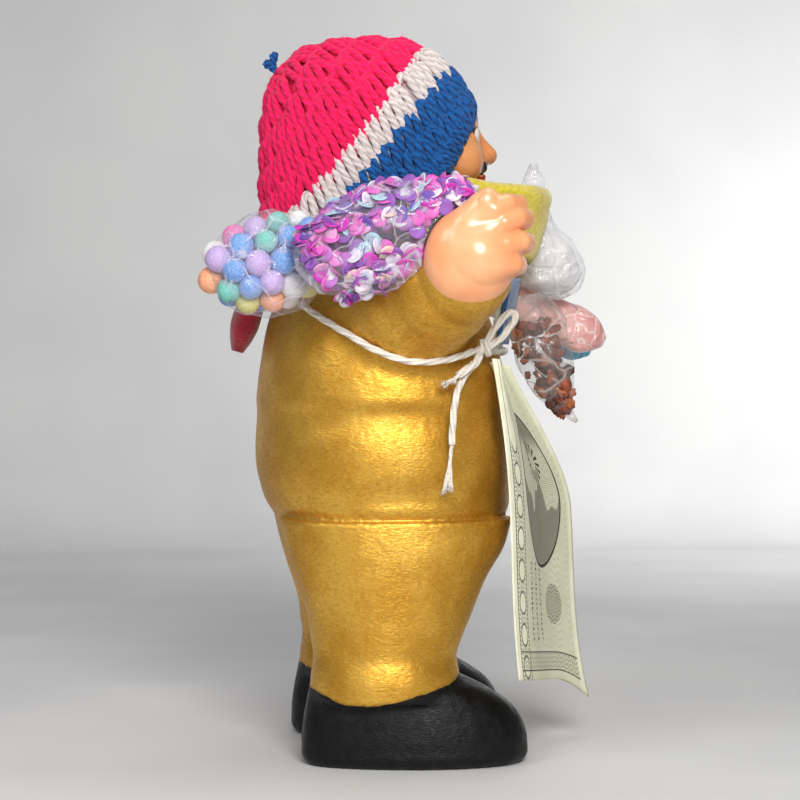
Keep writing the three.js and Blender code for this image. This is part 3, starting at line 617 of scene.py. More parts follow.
def head_form(x, forward, z):
    x = np.abs(x)
    whole = melt(level_form(x, forward, z, SKULL, 0.0, 2.2),
                 egg_form(x, forward, z, (0, FACE_FRONT - 27, CHIN_HEIGHT + 15.5), (23.2, 26.2, 15.6)), 4)
    whole = melt(whole, egg_form(x, forward, z, (0, 12, eye_line + 4), (21, 19.5, 14)), 5)
    cheek = egg_form(x, forward, z, (11, FACE_FRONT - 8.5, nose_foot - 1), (7, 5.6, 6))
    whole = melt(whole, cheek, 5)
    whole = melt(whole, egg_form(x, forward, z, (0, FACE_FRONT - 5.4, CHIN_HEIGHT + 3.6), (6.4, 4.6, 4.2)), 4)
    eye = egg_form(x, forward, z, (8.6, FACE_FRONT - 6.4, eye_line - 1.2), (4.2, 3.4, 3))
    whole = melt(whole, eye, 1.2)
    nose = limb_form(x, forward, z, [
        (0, FACE_FRONT - 4.6, eye_line, 2), (0, FACE_FRONT - 0.8, nose_foot + 5, 2.5), (0, FACE_FRONT + 1, nose_foot + 2.4, 3)])
    nose = melt(nose, egg_form(x, forward, z, (2.9, FACE_FRONT - 0.8, nose_foot + 1.4), (2.2, 2.7, 1.9)), 1.2)
    whole = melt(whole, nose, 2.6)
    moustache = limb_form(x, forward, z, [(0.6, FACE_FRONT - 0.9, lip_line + 3.1, 1.5), (5, FACE_FRONT - 1.6, lip_line + 2.6, 1.7),
                                          (9.4, FACE_FRONT - 4.6, lip_line + 1.6, 0.9)])
    whole = melt(whole, moustache, 1.0)
    for lift, thick in ((0.9, 1.1), (-1.0, 1.3)):
        whole = melt(whole, egg_form(x, forward, z, (0, FACE_FRONT - 1.8, lip_line - 0.9 + lift), (4.6, 2.1, thick)), 0.8)
    return whole


head_part = cast_part(head_form, (-30, -37, 148), (30, 40, 223), 0.75)
head_x, head_forward, head_z = head_part["points"].T
head_x = np.abs(head_x)
in_front = np.clip((head_forward - 14) * 2, -3, 3)


def oval_mark(x, z, half_width, half_height, tilt=0.0):
    """How far inside a painted oval each point of the face is, in millimetres."""
    across = (head_x - x) * math.cos(tilt) + (head_z - z) * math.sin(tilt)
    upward = (head_z - z) * math.cos(tilt) - (head_x - x) * math.sin(tilt)
    return np.minimum((1 - np.hypot(across / half_width, upward / half_height)) * min(half_width, half_height), in_front)


head_part["eye_white"] = oval_mark(8.6, eye_line - 1.2, 3.9, 2.3)
head_part["iris"] = oval_mark(8.4, eye_line - 1.1, 1.7, 1.9)
brow_rise = eye_line + 4.2 - 0.035 * (head_x - 8.5) ** 2
head_part["dark_paint"] = np.maximum.reduce([
    np.minimum(np.minimum(0.8 - np.abs(head_z - brow_rise), 5.6 - np.abs(head_x - 8.8)), in_front),
    np.minimum(-limb_form(head_x, head_forward, head_z, [
        (0.6, FACE_FRONT - 0.9, lip_line + 3.1, 2), (5, FACE_FRONT - 1.6, lip_line + 2.6, 2.2),
        (9.4, FACE_FRONT - 4.6, lip_line + 1.6, 1.3)]), in_front),
    np.minimum(oval_mark(8.6, eye_line - 1, 4.3, 2.7), -oval_mark(8.6, eye_line - 1.4, 4.1, 2.5)),
    np.clip(np.maximum(13 - head_forward + 0.2 * (head_z - 190), (head_z - 213) + 0.12 * (head_forward - 12)), -3, 3)])
head_part["lips"] = oval_mark(0, lip_line - 0.9, 4.6, 2.0)

face_paint, tree, shader = new_material("face_paint", Roughness=0.34, Coat_Weight=0.25, Coat_Roughness=0.15,
                                        Subsurface_Weight=0.05, Subsurface_Radius=(0.004, 0.0015, 0.0008))
where = surface_place(tree)
wobble = sum_of(tree, "MULTIPLY_ADD", noise(tree, where, 900.0, 2.0), 0.5, -0.25)
face_tone = mixed(tree, ramped(tree, noise(tree, where, 60.0, 3.0), 0.35, 0.65), tone(226, 146, 88), tone(238, 166, 106))
for mark, mark_tone in (("lips", tone(176, 44, 40)), ("eye_white", tone(240, 238, 230)), ("iris", tone(36, 20, 12)),
                        ("dark_paint", tone(16, 13, 12))):
    mark_at = sum_of(tree, "ADD", put(tree, "ShaderNodeAttribute", attribute_name=mark).outputs["Fac"],
                     sum_of(tree, "MULTIPLY", wobble, 0.5))
    face_tone = mixed(tree, ramped(tree, mark_at, -0.08, 0.08), face_tone, mark_tone)
tree.links.new(face_tone, shader.inputs["Base Color"])
raised(tree, shader, noise(tree, where, 320.0, 3.0), 0.0001, 0.7)
figure_head = make_piece("figure_head", head_part, face_paint)


# The hat: crocheted in rounds of thick wool from the crown, bright pink with one white round and a
# blue brim with ear flaps. Each stitch is a looped pair of strands that leans the same way.
HAT_MIDDLE, HAT_HALF = np.array([0, -2.4, 185.5]), (33.5, 37.4, 43.6)
HAT_POLE, HAT_BROW = np.array([0, -0.757, 0.653]), np.array([0, 0.653, 0.757])
HAT_WALL = 4.2


def hat_place(down, around, grow=0.0):
    """A place on the hat, by the angle down from its crown, the angle round it, and its depth."""
    down, around = np.broadcast_arrays(np.asarray(down, float), np.asarray(around, float))
    way = (np.cos(down)[..., None] * HAT_POLE + (np.sin(down) * np.cos(around))[..., None] * HAT_BROW
           + (np.sin(down) * np.sin(around))[..., None] * np.array([1, 0, 0]))
    t = np.clip((-way[..., 1] + 0.7) / 1.2, 0, 1)
    square = 2.3 + 0.8 * t * t * (3 - 2 * t)
    level = np.hypot(way[..., 0] / (HAT_HALF[0] + grow), way[..., 1] / (HAT_HALF[1] + grow))
    reach = (level ** square + np.abs(way[..., 2] / (HAT_HALF[2] + grow)) ** square) ** (-1 / square)
    return HAT_MIDDLE + way * reach[..., None]


def rim_down(around):
    """How far down the rim is: high over the brow, low over the ears, highest at the nape."""
    c = np.cos(around)
    return np.radians(118 + 9 * c - 21 * c * c)


def stitch(down, around, long, wide, thick, draw, lean=-0.4):
    """A part: one stitch, a loop of yarn drawn out along the hat, with the wrap that holds its head."""
    down_step, around_step = 0.02, 0.02
    here = hat_place(down, around)
    down_way = unit(hat_place(down + down_step, around) - here)
    round_way = unit(hat_place(down, around + around_step) - here)
    out = unit(np.cross(down_way, round_way))
    out = out if out @ (here - HAT_MIDDLE) > 0 else -out
    lean = lean + draw.normal() * 0.09
    run = down_way * math.cos(lean) + round_way * math.sin(lean)
    across = unit(np.cross(out, run))
    loop = np.array([  # along, across, out
        (0.60, 0.07, -0.62), (0.34, 0.17, -0.2), (0.04, 0.24, 0.04), (-0.24, 0.28, 0.12), (-0.43, 0.2, 0.0),
        (-0.50, 0.0, -0.2), (-0.43, -0.2, 0.0), (-0.24, -0.28, 0.12), (0.04, -0.24, 0.04), (0.34, -0.17, -0.2),
        (0.60, -0.07, -0.62)])
    loop = loop + draw.normal(size=loop.shape) * (0.012, 0.018, 0.07)

    def laid(points):
        points = np.asarray(points)
        flat = here + np.outer(points[:, 0] * long, run) + np.outer(points[:, 1] * wide, across)
        away = flat - HAT_MIDDLE
        surface = here + (flat - here) - out * (((flat - here) ** 2).sum(1) / (2 * np.linalg.norm(away, axis=1)))[:, None]
        return surface + out * (points[:, 2] * thick - 0.5 * thick)[:, None]

    line = line_through(laid(loop), long / 9)
    wrap = laid([(-0.62, -0.75, -0.5), (-0.56, -0.35, -0.22), (-0.52, 0.05, -0.12), (-0.46, 0.4, -0.2), (-0.4, 0.78, -0.5)])
    return [strand(line, thick / 2, sides=9, plies=3, ply_depth=0.1, turn=9.0, start=draw.uniform(0, 2)),
            strand(line_through(wrap, long / 7), thick * 0.5, sides=8, plies=3, ply_depth=0.1, turn=9.0)]


hat_draw = np.random.default_rng(31)
ROUND_TALL = 14.2
hat_parts = {"pink_yarn": [], "white_yarn": [], "blue_yarn": []}
for round_middle, stitch_count, yarn_name in (
        (8, 6, "pink_yarn"), (22.2, 14, "pink_yarn"), (36.4, 23, "pink_yarn"), (50.6, 30, "pink_yarn"), (64.8, 35, "pink_yarn"),
        (79, 37, "white_yarn"), (92.4, 38, "blue_yarn"), (104.4, 38, "blue_yarn"), (115, 38, "blue_yarn")):
    for number in range(stitch_count):
        around = 2 * math.pi * (number + hat_draw.uniform(-0.12, 0.12) + 0.37 * round_middle) / stitch_count
        middle = math.radians(round_middle + hat_draw.normal() * 0.5)
        if middle > rim_down(around) - math.radians(3):
            continue
        tall = 12.0 if yarn_name != "blue_yarn" else 11.0
        hat_parts[yarn_name] += stitch(middle, around, tall * (0.8 if round_middle < 10 else 1), 5.6, 3.0, hat_draw)
edge_count = 46
for number in range(edge_count):
    around = 2 * math.pi * number / edge_count
    hat_parts["blue_yarn"] += stitch(float(rim_down(np.array(around))) - 0.06, around, 7.2, 4.6, 2.6, hat_draw, lean=0.2)

# Each yarn's light and dark tone: the dark one is painted shade in the grooves between the plies, mixed with the yarn's
# own random fibre tone
YARN_TONES = {"pink_yarn": (tone(255, 16, 104), tone(214, 0, 66)), "white_yarn": (tone(236, 226, 222), tone(186, 172, 170)),
              "blue_yarn": (tone(2, 96, 172), tone(0, 40, 92))}
yarns = {}
for yarn_name, parts in hat_parts.items():
    yarns[yarn_name] = yarn_material(yarn_name, *YARN_TONES[yarn_name], sheen=0.12)
    make_piece("hat_stitches_" + yarn_name.split("_")[0], joined(parts), yarns[yarn_name])

hat_rows = []
for grow in (-2.4, -HAT_WALL):
    around = np.linspace(0, 2 * math.pi, 96, endpoint=False)
    shares = np.linspace(0.03, 0.985, 40)
    hat_rows.append(np.array([hat_place(rim_down(around) * share, around, grow) for share in shares]))
lining_rings = np.concatenate([hat_rows[0], hat_rows[1][::-1]])
lining_part = rings_part(lining_rings)
lining_down = np.degrees(np.arccos(np.clip(unit(lining_part["points"] - HAT_MIDDLE) @ HAT_POLE, -1, 1)))
lining_part["down"] = lining_down
# The wool under the stitches, seen in the gaps between them, in darker tones of the three yarns: the real wool beneath,
# coloured darker as painted shade in the gaps, with the fibres varying it at random
hat_underlayer_shade, tree, shader = new_material("hat_underlayer_shade", Roughness=0.95)
lining_at = put(tree, "ShaderNodeAttribute", attribute_name="down").outputs["Fac"]
loose = fibres(tree, 700.0, 0.5)
underlayer_shade_tone = mixed(tree, ramped(tree, lining_at, 71.5, 72.5), tone(226, 0, 78), tone(196, 180, 180))
underlayer_shade_tone = mixed(tree, ramped(tree, lining_at, 85.5, 86.5), underlayer_shade_tone, tone(0, 52, 112))
underlayer_shade_tone = mixed(tree, sum_of(tree, "MULTIPLY", loose.outputs["Tone"], 0.35), underlayer_shade_tone, tone(90, 0, 40))
tree.links.new(underlayer_shade_tone, shader.inputs["Base Color"])
raised(tree, shader, loose.outputs["Height"], 0.0008)
make_piece("hat_inside", lining_part, hat_underlayer_shade, ["crochet_hat"])

# The two ends of blue yarn left at the crown, tied off and cut short
tie_foot = hat_place(math.radians(5), 0.0, -0.6)
tie_parts = []
for tie_end, tie_bend in (((0, -4.2, 3.6), (0, -2.4, 2.4)), ((0.6, -0.6, 6.8), (0.2, -1.4, 3.2))):
    tie_line = line_through([tie_foot, tie_foot + np.array(tie_bend), tie_foot + np.array(tie_end)], 0.4)
    swell = np.interp(np.linspace(0, 1, len(tie_line)), [0, 0.4, 0.8, 1], [1.1, 1.25, 1.75, 1.1])
    tie_parts.append(strand(tie_line, swell, sides=12, plies=3, ply_depth=0.2, turn=6.0))
make_piece("yarn_tie", joined(tie_parts), yarns["blue_yarn"], ["yarn_tie"])

# Loose fibres of the wool, which stand up all over the hat
fuzz_draw = np.random.default_rng(8)
for yarn_name, fuzz_count in (("pink_yarn", 2600), ("white_yarn", 500), ("blue_yarn", 1100)):
    stitches = joined(hat_parts[yarn_name])["points"]
    roots = stitches[fuzz_draw.integers(0, len(stitches), fuzz_count)]
    out_ways = unit(roots - HAT_MIDDLE)
    hairs = []
    for root, out_way in zip(roots, out_ways):
        first = unit(out_way + 0.9 * fuzz_draw.normal(size=3))
        second = unit(first + 0.8 * fuzz_draw.normal(size=3))
        reach = fuzz_draw.uniform(0.7, 1.9)
        hairs.append(strand(np.array([root, root + first * reach * 0.5, root + (first + second) * reach * 0.5]),
                            [0.045, 0.04, 0.02], sides=3))
    make_piece("hat_fuzz_" + yarn_name.split("_")[0], joined(hairs), yarns[yarn_name])


# The scarf: a band of yellow felt, folded double and laid round the neck, bulging out in front
SCARF_THICK = 3.0


def scarf_edge(around):
    """The scarf's middle line and its two edges, by the angle round the neck."""
    front = (1 + np.cos(around)) / 2
    forward = -25 + 76.4 * front ** 1.1
    t = np.clip((front - 0.18) / 0.56, 0, 1)
    return {"x": 25.8 * np.sin(around), "forward": forward, "lean": 2.6 * front ** 3, "low": 165.2 - 8.6 * front ** 3,
            "high": 168 + 13 * t * t * (3 - 2 * t) + 2.4 * np.exp(-(((forward - 23) / 7) ** 2))}


scarf_rings = []
for around in np.linspace(0, 2 * math.pi, 180, endpoint=False):
    edge, before, after = scarf_edge(around), scarf_edge(around - 0.01), scarf_edge(around + 0.01)
    along = unit(np.array([after["x"] - before["x"], after["forward"] - before["forward"]]))
    out = np.array([-along[1], along[0]])
    if out @ np.array([edge["x"], edge["forward"] - 10]) < 0:
        out = -out
    ring = []
    for side, ups in ((1, np.linspace(0, 1, 16)), (-1, np.linspace(1, 0, 16))):
        for up in ups:
            thin = 0.5 * SCARF_THICK * (1 - 0.75 * abs(2 * up - 1) ** 7)
            wave = 0.5 * math.sin(5 * around + 3 * up) * (1 - abs(2 * up - 1)) + 0.9 * math.sin(math.pi * up) * math.cos(around / 2) ** 2
            roll = 0.9 * math.exp(-(((up - 0.86) / 0.09) ** 2)) * (side == 1) * max(math.cos(around), 0)
            reach = side * thin + wave + roll
            rise = edge["low"] + (edge["high"] - edge["low"]) * up
            tip = edge["forward"] + edge["lean"] * (2 * up - 1)
            ring.append((edge["x"] + out[0] * reach, tip + out[1] * reach, rise + 0.35 * math.sin(7 * around + side)))
    scarf_rings.append(ring)
scarf_part = rings_part(np.array(scarf_rings), closed=True)


def felt_material(name, light, dark, fineness=1100.0):
    """Pressed wool felt, with a soft lie of short fibres."""
    material, tree, shader = new_material(name, Roughness=0.95, Sheen_Weight=0.6, Sheen_Roughness=0.5)
    loose = fibres(tree, fineness, 0.5)
    broad = ramped(tree, noise(tree, surface_place(tree), 90.0, 3.0), 0.35, 0.65)
    share = sum_of(tree, "ADD", sum_of(tree, "MULTIPLY", loose.outputs["Tone"], 0.6), sum_of(tree, "MULTIPLY", broad, 0.4))
    tree.links.new(mixed(tree, share, dark, light), shader.inputs["Base Color"])
    raised(tree, shader, loose.outputs["Height"], 0.0006)
    return material


yellow_felt = felt_material("yellow_felt", tone(232, 212, 44), tone(186, 164, 22))
felt_scarf = make_piece("felt_scarf", scarf_part, yellow_felt, ["felt_scarf"])


# The strip of blue felt with a pinked cream backing, which hangs down the chest behind the knot
def strip_part(place_of, across_count, down_count, thick, margin=0.0):
    """A part: a thin strip of even thickness."""
    across, down = np.meshgrid(np.linspace(-margin, 1 + margin, across_count), np.linspace(0, 1, down_count), indexing="xy")
    front = place_of(across, down)
    right = np.gradient(front, axis=1)
    below = np.gradient(front, axis=0)
    rear = front + unit(np.cross(right, below)) * thick
    rings = np.concatenate([front, rear[:, ::-1]], axis=1)
    return rings_part(rings)


def ribbon_place(across, down):
    return np.stack([-41 + 10 * across + 2.4 * down, 35.5 - 3.5 * down + 4.6 * across, 151 - 20.5 * down], -1)


blue_felt = felt_material("blue_felt", tone(8, 92, 158), tone(4, 56, 104))
cream_felt = felt_material("cream_felt", tone(238, 230, 196), tone(206, 194, 150))
felt_ribbon = make_piece("felt_ribbon", strip_part(ribbon_place, 10, 24, 1.0), blue_felt, ["felt_ribbon"])


def backing_place(across, down):
    place_there = ribbon_place(across * 1.22 - 0.2, down * 1.16)
    tooth = np.abs((down * 9) % 1 - 0.5) * 2.2
    return place_there + np.stack([0.3 - (across < 0.05) * tooth * 0.9, -1.4 - (across < 0.05) * tooth * 0.3, 0 * down], -1)


ribbon_backing = make_piece("ribbon_backing", strip_part(backing_place, 14, 73, 0.5), cream_felt)


# The note: a printed play note on cream paper, gathered into the knot by one end, with the rest
# hanging open and curling. It has a border of ovals, a view of hills, a rosette and rows of strokes.
NOTE_WIDE, NOTE_DROP = 66, 109


def note_place(across, down):
    drop = down * NOTE_DROP
    t = np.clip((drop + 14) / 60, 0, 1)
    opened = t * t * (3 - 2 * t)
    left = np.stack([-43.5 - 7 * down, 28.8 + 9.2 * down, KNOT[2] - 3 - drop * 0.9], -1)
    way = np.array([0.86, 0.45, -0.13]) / math.sqrt(0.86 ** 2 + 0.45 ** 2 + 0.13 ** 2)
    wave = 2.2 * np.sin(across * 2 * math.pi + 0.6) * (1 - 0.4 * down) + 1.5 * np.sin(down * 5)
    pleat = 1.1 * np.sin(across * 6 * math.pi) * np.exp(-drop / 16)
    curl = 6 * np.maximum(across - 0.72, 0) ** 2 / 0.078 * down ** 8
    return (left + way * (across * NOTE_WIDE * (0.14 + 0.83 * opened))[..., None]
            + np.stack([-0.45 * (wave + pleat), 0.86 * (wave + pleat) + 0.5 * curl, -curl], -1))


NOTE_ACROSS, NOTE_DOWN = 60, 110
note_part = strip_part(note_place, NOTE_ACROSS, NOTE_DOWN, 0.25)
across_grid, down_grid = np.meshgrid(np.linspace(0, 1, NOTE_ACROSS), np.linspace(0, 1, NOTE_DOWN), indexing="xy")
note_part["note_across"] = np.concatenate([across_grid, across_grid[:, ::-1]], 1).ravel() * NOTE_WIDE
note_part["note_down"] = np.concatenate([down_grid, down_grid], 1).ravel() * NOTE_DROP

note_paper, tree, shader = new_material("note_paper", Roughness=0.75)
note_x = put(tree, "ShaderNodeAttribute", attribute_name="note_across").outputs["Fac"]
note_y = put(tree, "ShaderNodeAttribute", attribute_name="note_down").outputs["Fac"]


def between(low, high, value, soft=0.12):
    """Ink where a value lies between two edges."""
    return sum_of(tree, "MULTIPLY", ramped(tree, value, low - soft, low + soft), ramped(tree, value, high + soft, high - soft))


def both(*masks):
    whole = masks[0]
    for mask in masks[1:]:
        whole = sum_of(tree, "MULTIPLY", whole, mask)
    return whole


def either(*masks):
    whole = masks[0]
    for mask in masks[1:]:
        whole = sum_of(tree, "MAXIMUM", whole, mask)
    return whole


def from_middle(x, y, stretch=1.0):
    """How far a point of the note is from a middle, in millimetres, and the angle there."""
    dx = sum_of(tree, "SUBTRACT", note_x, x)
    dy = sum_of(tree, "MULTIPLY", sum_of(tree, "SUBTRACT", note_y, y), stretch)
    far = sum_of(tree, "SQRT", sum_of(tree, "ADD", sum_of(tree, "MULTIPLY", dx, dx), sum_of(tree, "MULTIPLY", dy, dy)))
    return far, sum_of(tree, "ARCTAN2", dy, dx)


def repeated(value, period):
    """The distance from the middle of each step of a row, from 0 to half the step."""
    return sum_of(tree, "ABSOLUTE", sum_of(tree, "SUBTRACT", sum_of(tree, "MODULO", sum_of(tree, "ADD", value, 1000 * period),
                                                                        period), period / 2))


border = between(3.6, 11.6, note_x)
border_low = both(between(99.4, 105.6, note_y), between(3.6, 63, note_x))
weave = sum_of(tree, "ADD", sum_of(tree, "SINE", sum_of(tree, "MULTIPLY", note_x, 5.2)),
               sum_of(tree, "SINE", sum_of(tree, "MULTIPLY", sum_of(tree, "ADD", note_y, sum_of(tree, "SINE", note_x)), 4.2)))
weave_ink = sum_of(tree, "MULTIPLY", ramped(tree, weave, -0.6, 0.9), 0.7)
oval_y = repeated(note_y, 11.0)
oval_x = sum_of(tree, "SUBTRACT", note_x, 7.6)
oval_far = sum_of(tree, "SQRT", sum_of(tree, "ADD", sum_of(tree, "POWER", sum_of(tree, "DIVIDE", oval_x, 2.9), 2.0),
                                       sum_of(tree, "POWER", sum_of(tree, "DIVIDE", oval_y, 4.1), 2.0)))
oval_line = between(0.82, 1.02, oval_far, 0.03)
oval_clear = ramped(tree, oval_far, 0.84, 0.8)
frame_lines = either(between(3.3, 3.7, note_x, 0.06), between(11.5, 11.9, note_x, 0.06),
                     both(either(between(99.1, 99.5, note_y, 0.06), between(105.5, 105.9, note_y, 0.06)), between(3.6, 63, note_x)))
border_ink = both(border, sum_of(tree, "MAXIMUM", both(weave_ink, sum_of(tree, "SUBTRACT", 1.0, oval_clear)), oval_line),
                  ramped(tree, note_y, 26.0, 30.0))
view_far, view_angle = from_middle(37.0, 42.0, 0.78)
view_edge = between(20.4, 21.4, view_far, 0.1)
view_in = ramped(tree, view_far, 20.4, 20.2)
hill = sum_of(tree, "ADD", sum_of(tree, "MULTIPLY", sum_of(tree, "SINE", sum_of(tree, "MULTIPLY", note_x, 0.28)), 4.5),
              sum_of(tree, "MULTIPLY", sum_of(tree, "SINE", sum_of(tree, "MULTIPLY", note_x, 0.71)), 1.8))
hill_top = sum_of(tree, "SUBTRACT", note_y, sum_of(tree, "ADD", hill, 44.0))
hatch = ramped(tree, sum_of(tree, "SINE", sum_of(tree, "MULTIPLY", sum_of(tree, "ADD", note_x, note_y), 6.5)), -0.5, 0.5, 0.45, 1.0)
hills = both(view_in, ramped(tree, hill_top, -0.3, 0.3), hatch)
sky_lines = sum_of(tree, "MULTIPLY", both(view_in, ramped(tree, sum_of(tree, "SINE", sum_of(tree, "MULTIPLY", note_y, 8.0)), 0.0, 0.8)), 0.35)
sun_far, sun_angle = from_middle(40.0, 32.0)
sun = both(between(3.0, 7.0, sun_far), ramped(tree, sum_of(tree, "SINE", sum_of(tree, "MULTIPLY", sun_angle, 16.0)), 0.0, 0.3))
crown_shade = both(view_in, ramped(tree, note_y, 30.0, 22.0), hatch)
rosette_far, rosette_angle = from_middle(48.0, 82.0)
petals = sum_of(tree, "ADD", rosette_far, sum_of(tree, "MULTIPLY", sum_of(tree, "SINE", sum_of(tree, "MULTIPLY", rosette_angle, 12.0)), 0.7))
rosette = both(ramped(tree, rosette_far, 7.4, 7.2), ramped(tree, sum_of(tree, "SINE", sum_of(tree, "MULTIPLY", petals, 4.0)), -0.4, 0.4, 0.25, 0.9))
stroke_row = between(0.0, 1.1, repeated(sum_of(tree, "ADD", note_x, 0.0), 7.4), 0.1)
stroke_break = ramped(tree, noise(tree, put(tree, "ShaderNodeCombineXYZ", {"X": note_x, "Y": note_y, "Z": 0.0}).outputs[0], 0.9, 1.0), 0.47, 0.5)
strokes = both(between(15.0, 36.0, note_x), between(68.0, 96.0, note_y), stroke_row, stroke_break,
               ramped(tree, sum_of(tree, "SINE", sum_of(tree, "MULTIPLY", note_y, 3.6)), -0.5, -0.2))
lattice = sum_of(tree, "MULTIPLY", both(between(12.6, 62.0, note_x), between(4.0, 98.0, note_y),
                                        ramped(tree, sum_of(tree, "SINE", sum_of(tree, "MULTIPLY", sum_of(tree, "ADD", note_y, hill), 2.4)), 0.5, 1.0)), 0.16)
low_border = both(border_low, weave_ink)
ink = either(sum_of(tree, "MULTIPLY", border_ink, 0.85), frame_lines, view_edge, sum_of(tree, "MULTIPLY", hills, 0.92), sky_lines,
             sun, sum_of(tree, "MULTIPLY", crown_shade, 0.95), sum_of(tree, "MULTIPLY", rosette, 0.75), strokes, lattice,
             sum_of(tree, "MULTIPLY", low_border, 0.8))
where = surface_place(tree)
paper_tone = mixed(tree, ramped(tree, noise(tree, where, 120.0, 4.0), 0.35, 0.65), tone(238, 236, 204), tone(250, 248, 222))
paper_tint = mixed(tree, sum_of(tree, "MULTIPLY", between(12.0, 62.5, note_x, 1.0), 0.5), paper_tone, tone(196, 200, 168))
tree.links.new(mixed(tree, ink, paper_tint, tone(46, 48, 40)), shader.inputs["Base Color"])
raised(tree, shader, noise(tree, where, 600.0, 3.0), 0.00012, 0.7)
banknote = make_piece("banknote", note_part, note_paper, ["banknote"])


# Clear film, as on all the bags: it shows mainly at its seams, in small sharp highlights, and in painted highlights
# along its creases
crease_effect = bpy.data.node_groups.new("film_creases", "ShaderNodeTree")
crease_effect.interface.new_socket("Scale", in_out="INPUT", socket_type="NodeSocketFloat").default_value = 90.0
for socket_name in ("Highlight_lines", "Height"):
    crease_effect.interface.new_socket(socket_name, in_out="OUTPUT", socket_type="NodeSocketFloat")
effect_in = crease_effect.nodes.new("NodeGroupInput")
effect_out = crease_effect.nodes.new("NodeGroupOutput")
crease_wander = put(crease_effect, "ShaderNodeTexNoise", {"Vector": surface_place(crease_effect), "Scale": 70.0, "Detail": 2.0})
crease_bend = put(crease_effect, "ShaderNodeVectorMath", {0: crease_wander.outputs["Color"], "Scale": 0.012}, operation="SCALE")
crease_bent = put(crease_effect, "ShaderNodeVectorMath", {0: surface_place(crease_effect), 1: crease_bend.outputs[0]}, operation="ADD")
crease_cells = put(crease_effect, "ShaderNodeTexVoronoi", {"Vector": crease_bent.outputs[0], "Scale": effect_in.outputs["Scale"]},
                   feature="DISTANCE_TO_EDGE")
crease_ridge = put(crease_effect, "ShaderNodeTexNoise", {"Vector": surface_place(crease_effect), "Scale": 220.0, "Detail": 3.0,
                                                        "Roughness": 0.6})
# The thin lines at the crease edges are painted highlights; the height gives the creases their bumps
crease_effect.links.new(ramped(crease_effect, crease_cells.outputs["Distance"], 0.045, 0.0), effect_out.inputs["Highlight_lines"])
crease_effect.links.new(sum_of(crease_effect, "ADD", ramped(crease_effect, crease_cells.outputs["Distance"], 0.0, 0.3),
                               sum_of(crease_effect, "MULTIPLY", crease_ridge.outputs[0], 0.9)), effect_out.inputs["Height"])


def film_material(name, tint, clear=0.16, crease_scale=90.0, crease_highlight_share=0.35, edge_share=0.45):
    """Clear film. Its veil is thin face on, and thicker at grazing angles and seams; along its creases it thickens into
    pale streaks that are painted highlights.
    """
    material, tree, shader = new_material(name, Roughness=0.06, Base_Color=tint)
    shader.inputs["Specular IOR Level"].default_value = 1.0
    creases = put(tree, "ShaderNodeGroup", {"Scale": crease_scale}, node_tree=crease_effect)
    facing = put(tree, "ShaderNodeLayerWeight", {"Blend": 0.35}).outputs["Facing"]
    seam = put(tree, "ShaderNodeAttribute", attribute_name="seam").outputs["Fac"]
    # Painted highlights: the veil thickens along the crease lines, so they show as pale streaks
    veil = sum_of(tree, "ADD", clear, sum_of(tree, "MULTIPLY", creases.outputs["Highlight_lines"], crease_highlight_share))
    veil = sum_of(tree, "ADD", veil, sum_of(tree, "MULTIPLY", ramped(tree, facing, 0.45, 1.0), edge_share))
    veil = put(tree, "ShaderNodeMath", {0: veil, 1: sum_of(tree, "MULTIPLY", seam, 0.3)}, operation="ADD", use_clamp=True).outputs[0]
    tree.links.new(veil, shader.inputs["Alpha"])
    raised(tree, shader, creases.outputs["Height"], 0.0011)
    return material


def bag_rings(stations, count, sides, power=2.2, flat_ends=True):
    """Rings of a bag through its stations: place, half height and half thickness."""
    stations = np.asarray(stations, float)
    run = np.concatenate([[0], np.cumsum(np.linalg.norm(np.diff(stations[:, :3], axis=0), axis=1))])
    rows = eased(np.linspace(0, run[-1], count), run, stations)
    along = unit(np.gradient(rows[:, :3], axis=0))
    across = unit(np.array([1.0, 0, 0]) - along * along[:, :1])
    up = np.cross(along, across)
    angle = np.linspace(0, 2 * math.pi, sides, endpoint=False)
    c, s = np.cos(angle), np.sin(angle)
    round_c, round_s = np.sign(c) * np.abs(c) ** (2 / power), np.sign(s) * np.abs(s) ** (2 / power)
    return (rows[:, None, :3] + np.maximum(rows[:, 4], 0.15)[:, None, None] * round_c[None, :, None] * across[:, None]
            + np.maximum(rows[:, 3], 0.3)[:, None, None] * round_s[None, :, None] * up[:, None])


def bag_form(stations, x, forward, z, inset=0.0):
    """Roughly how far a place is outside a bag."""
    stations = np.asarray(stations, float)
    start, end = stations[0, :3], stations[-1, :3]
    run = np.concatenate([[0], np.cumsum(np.linalg.norm(np.diff(stations[:, :3], axis=0), axis=1))])
    way = end - start
    t = np.clip(((x - start[0]) * way[0] + (forward - start[1]) * way[1] + (z - start[2]) * way[2]) / (way @ way), 0, 1)
    at = eased(t * run[-1], run, stations)
    along = way / np.linalg.norm(way)
    across = unit(np.array([1.0, 0, 0]) - along * along[0])
    up = np.cross(along, across)
    gap = np.stack([x, forward, z], -1) - at[..., :3]
    thick, tall = np.maximum(at[..., 4] - inset, 0.2), np.maximum(at[..., 3] - inset, 0.2)
    ratio = np.sqrt((gap @ across / thick) ** 2 + (gap @ up / tall) ** 2 + (gap @ along / 3.0) ** 2)
    return (ratio - 1) * np.minimum(thick, tall)


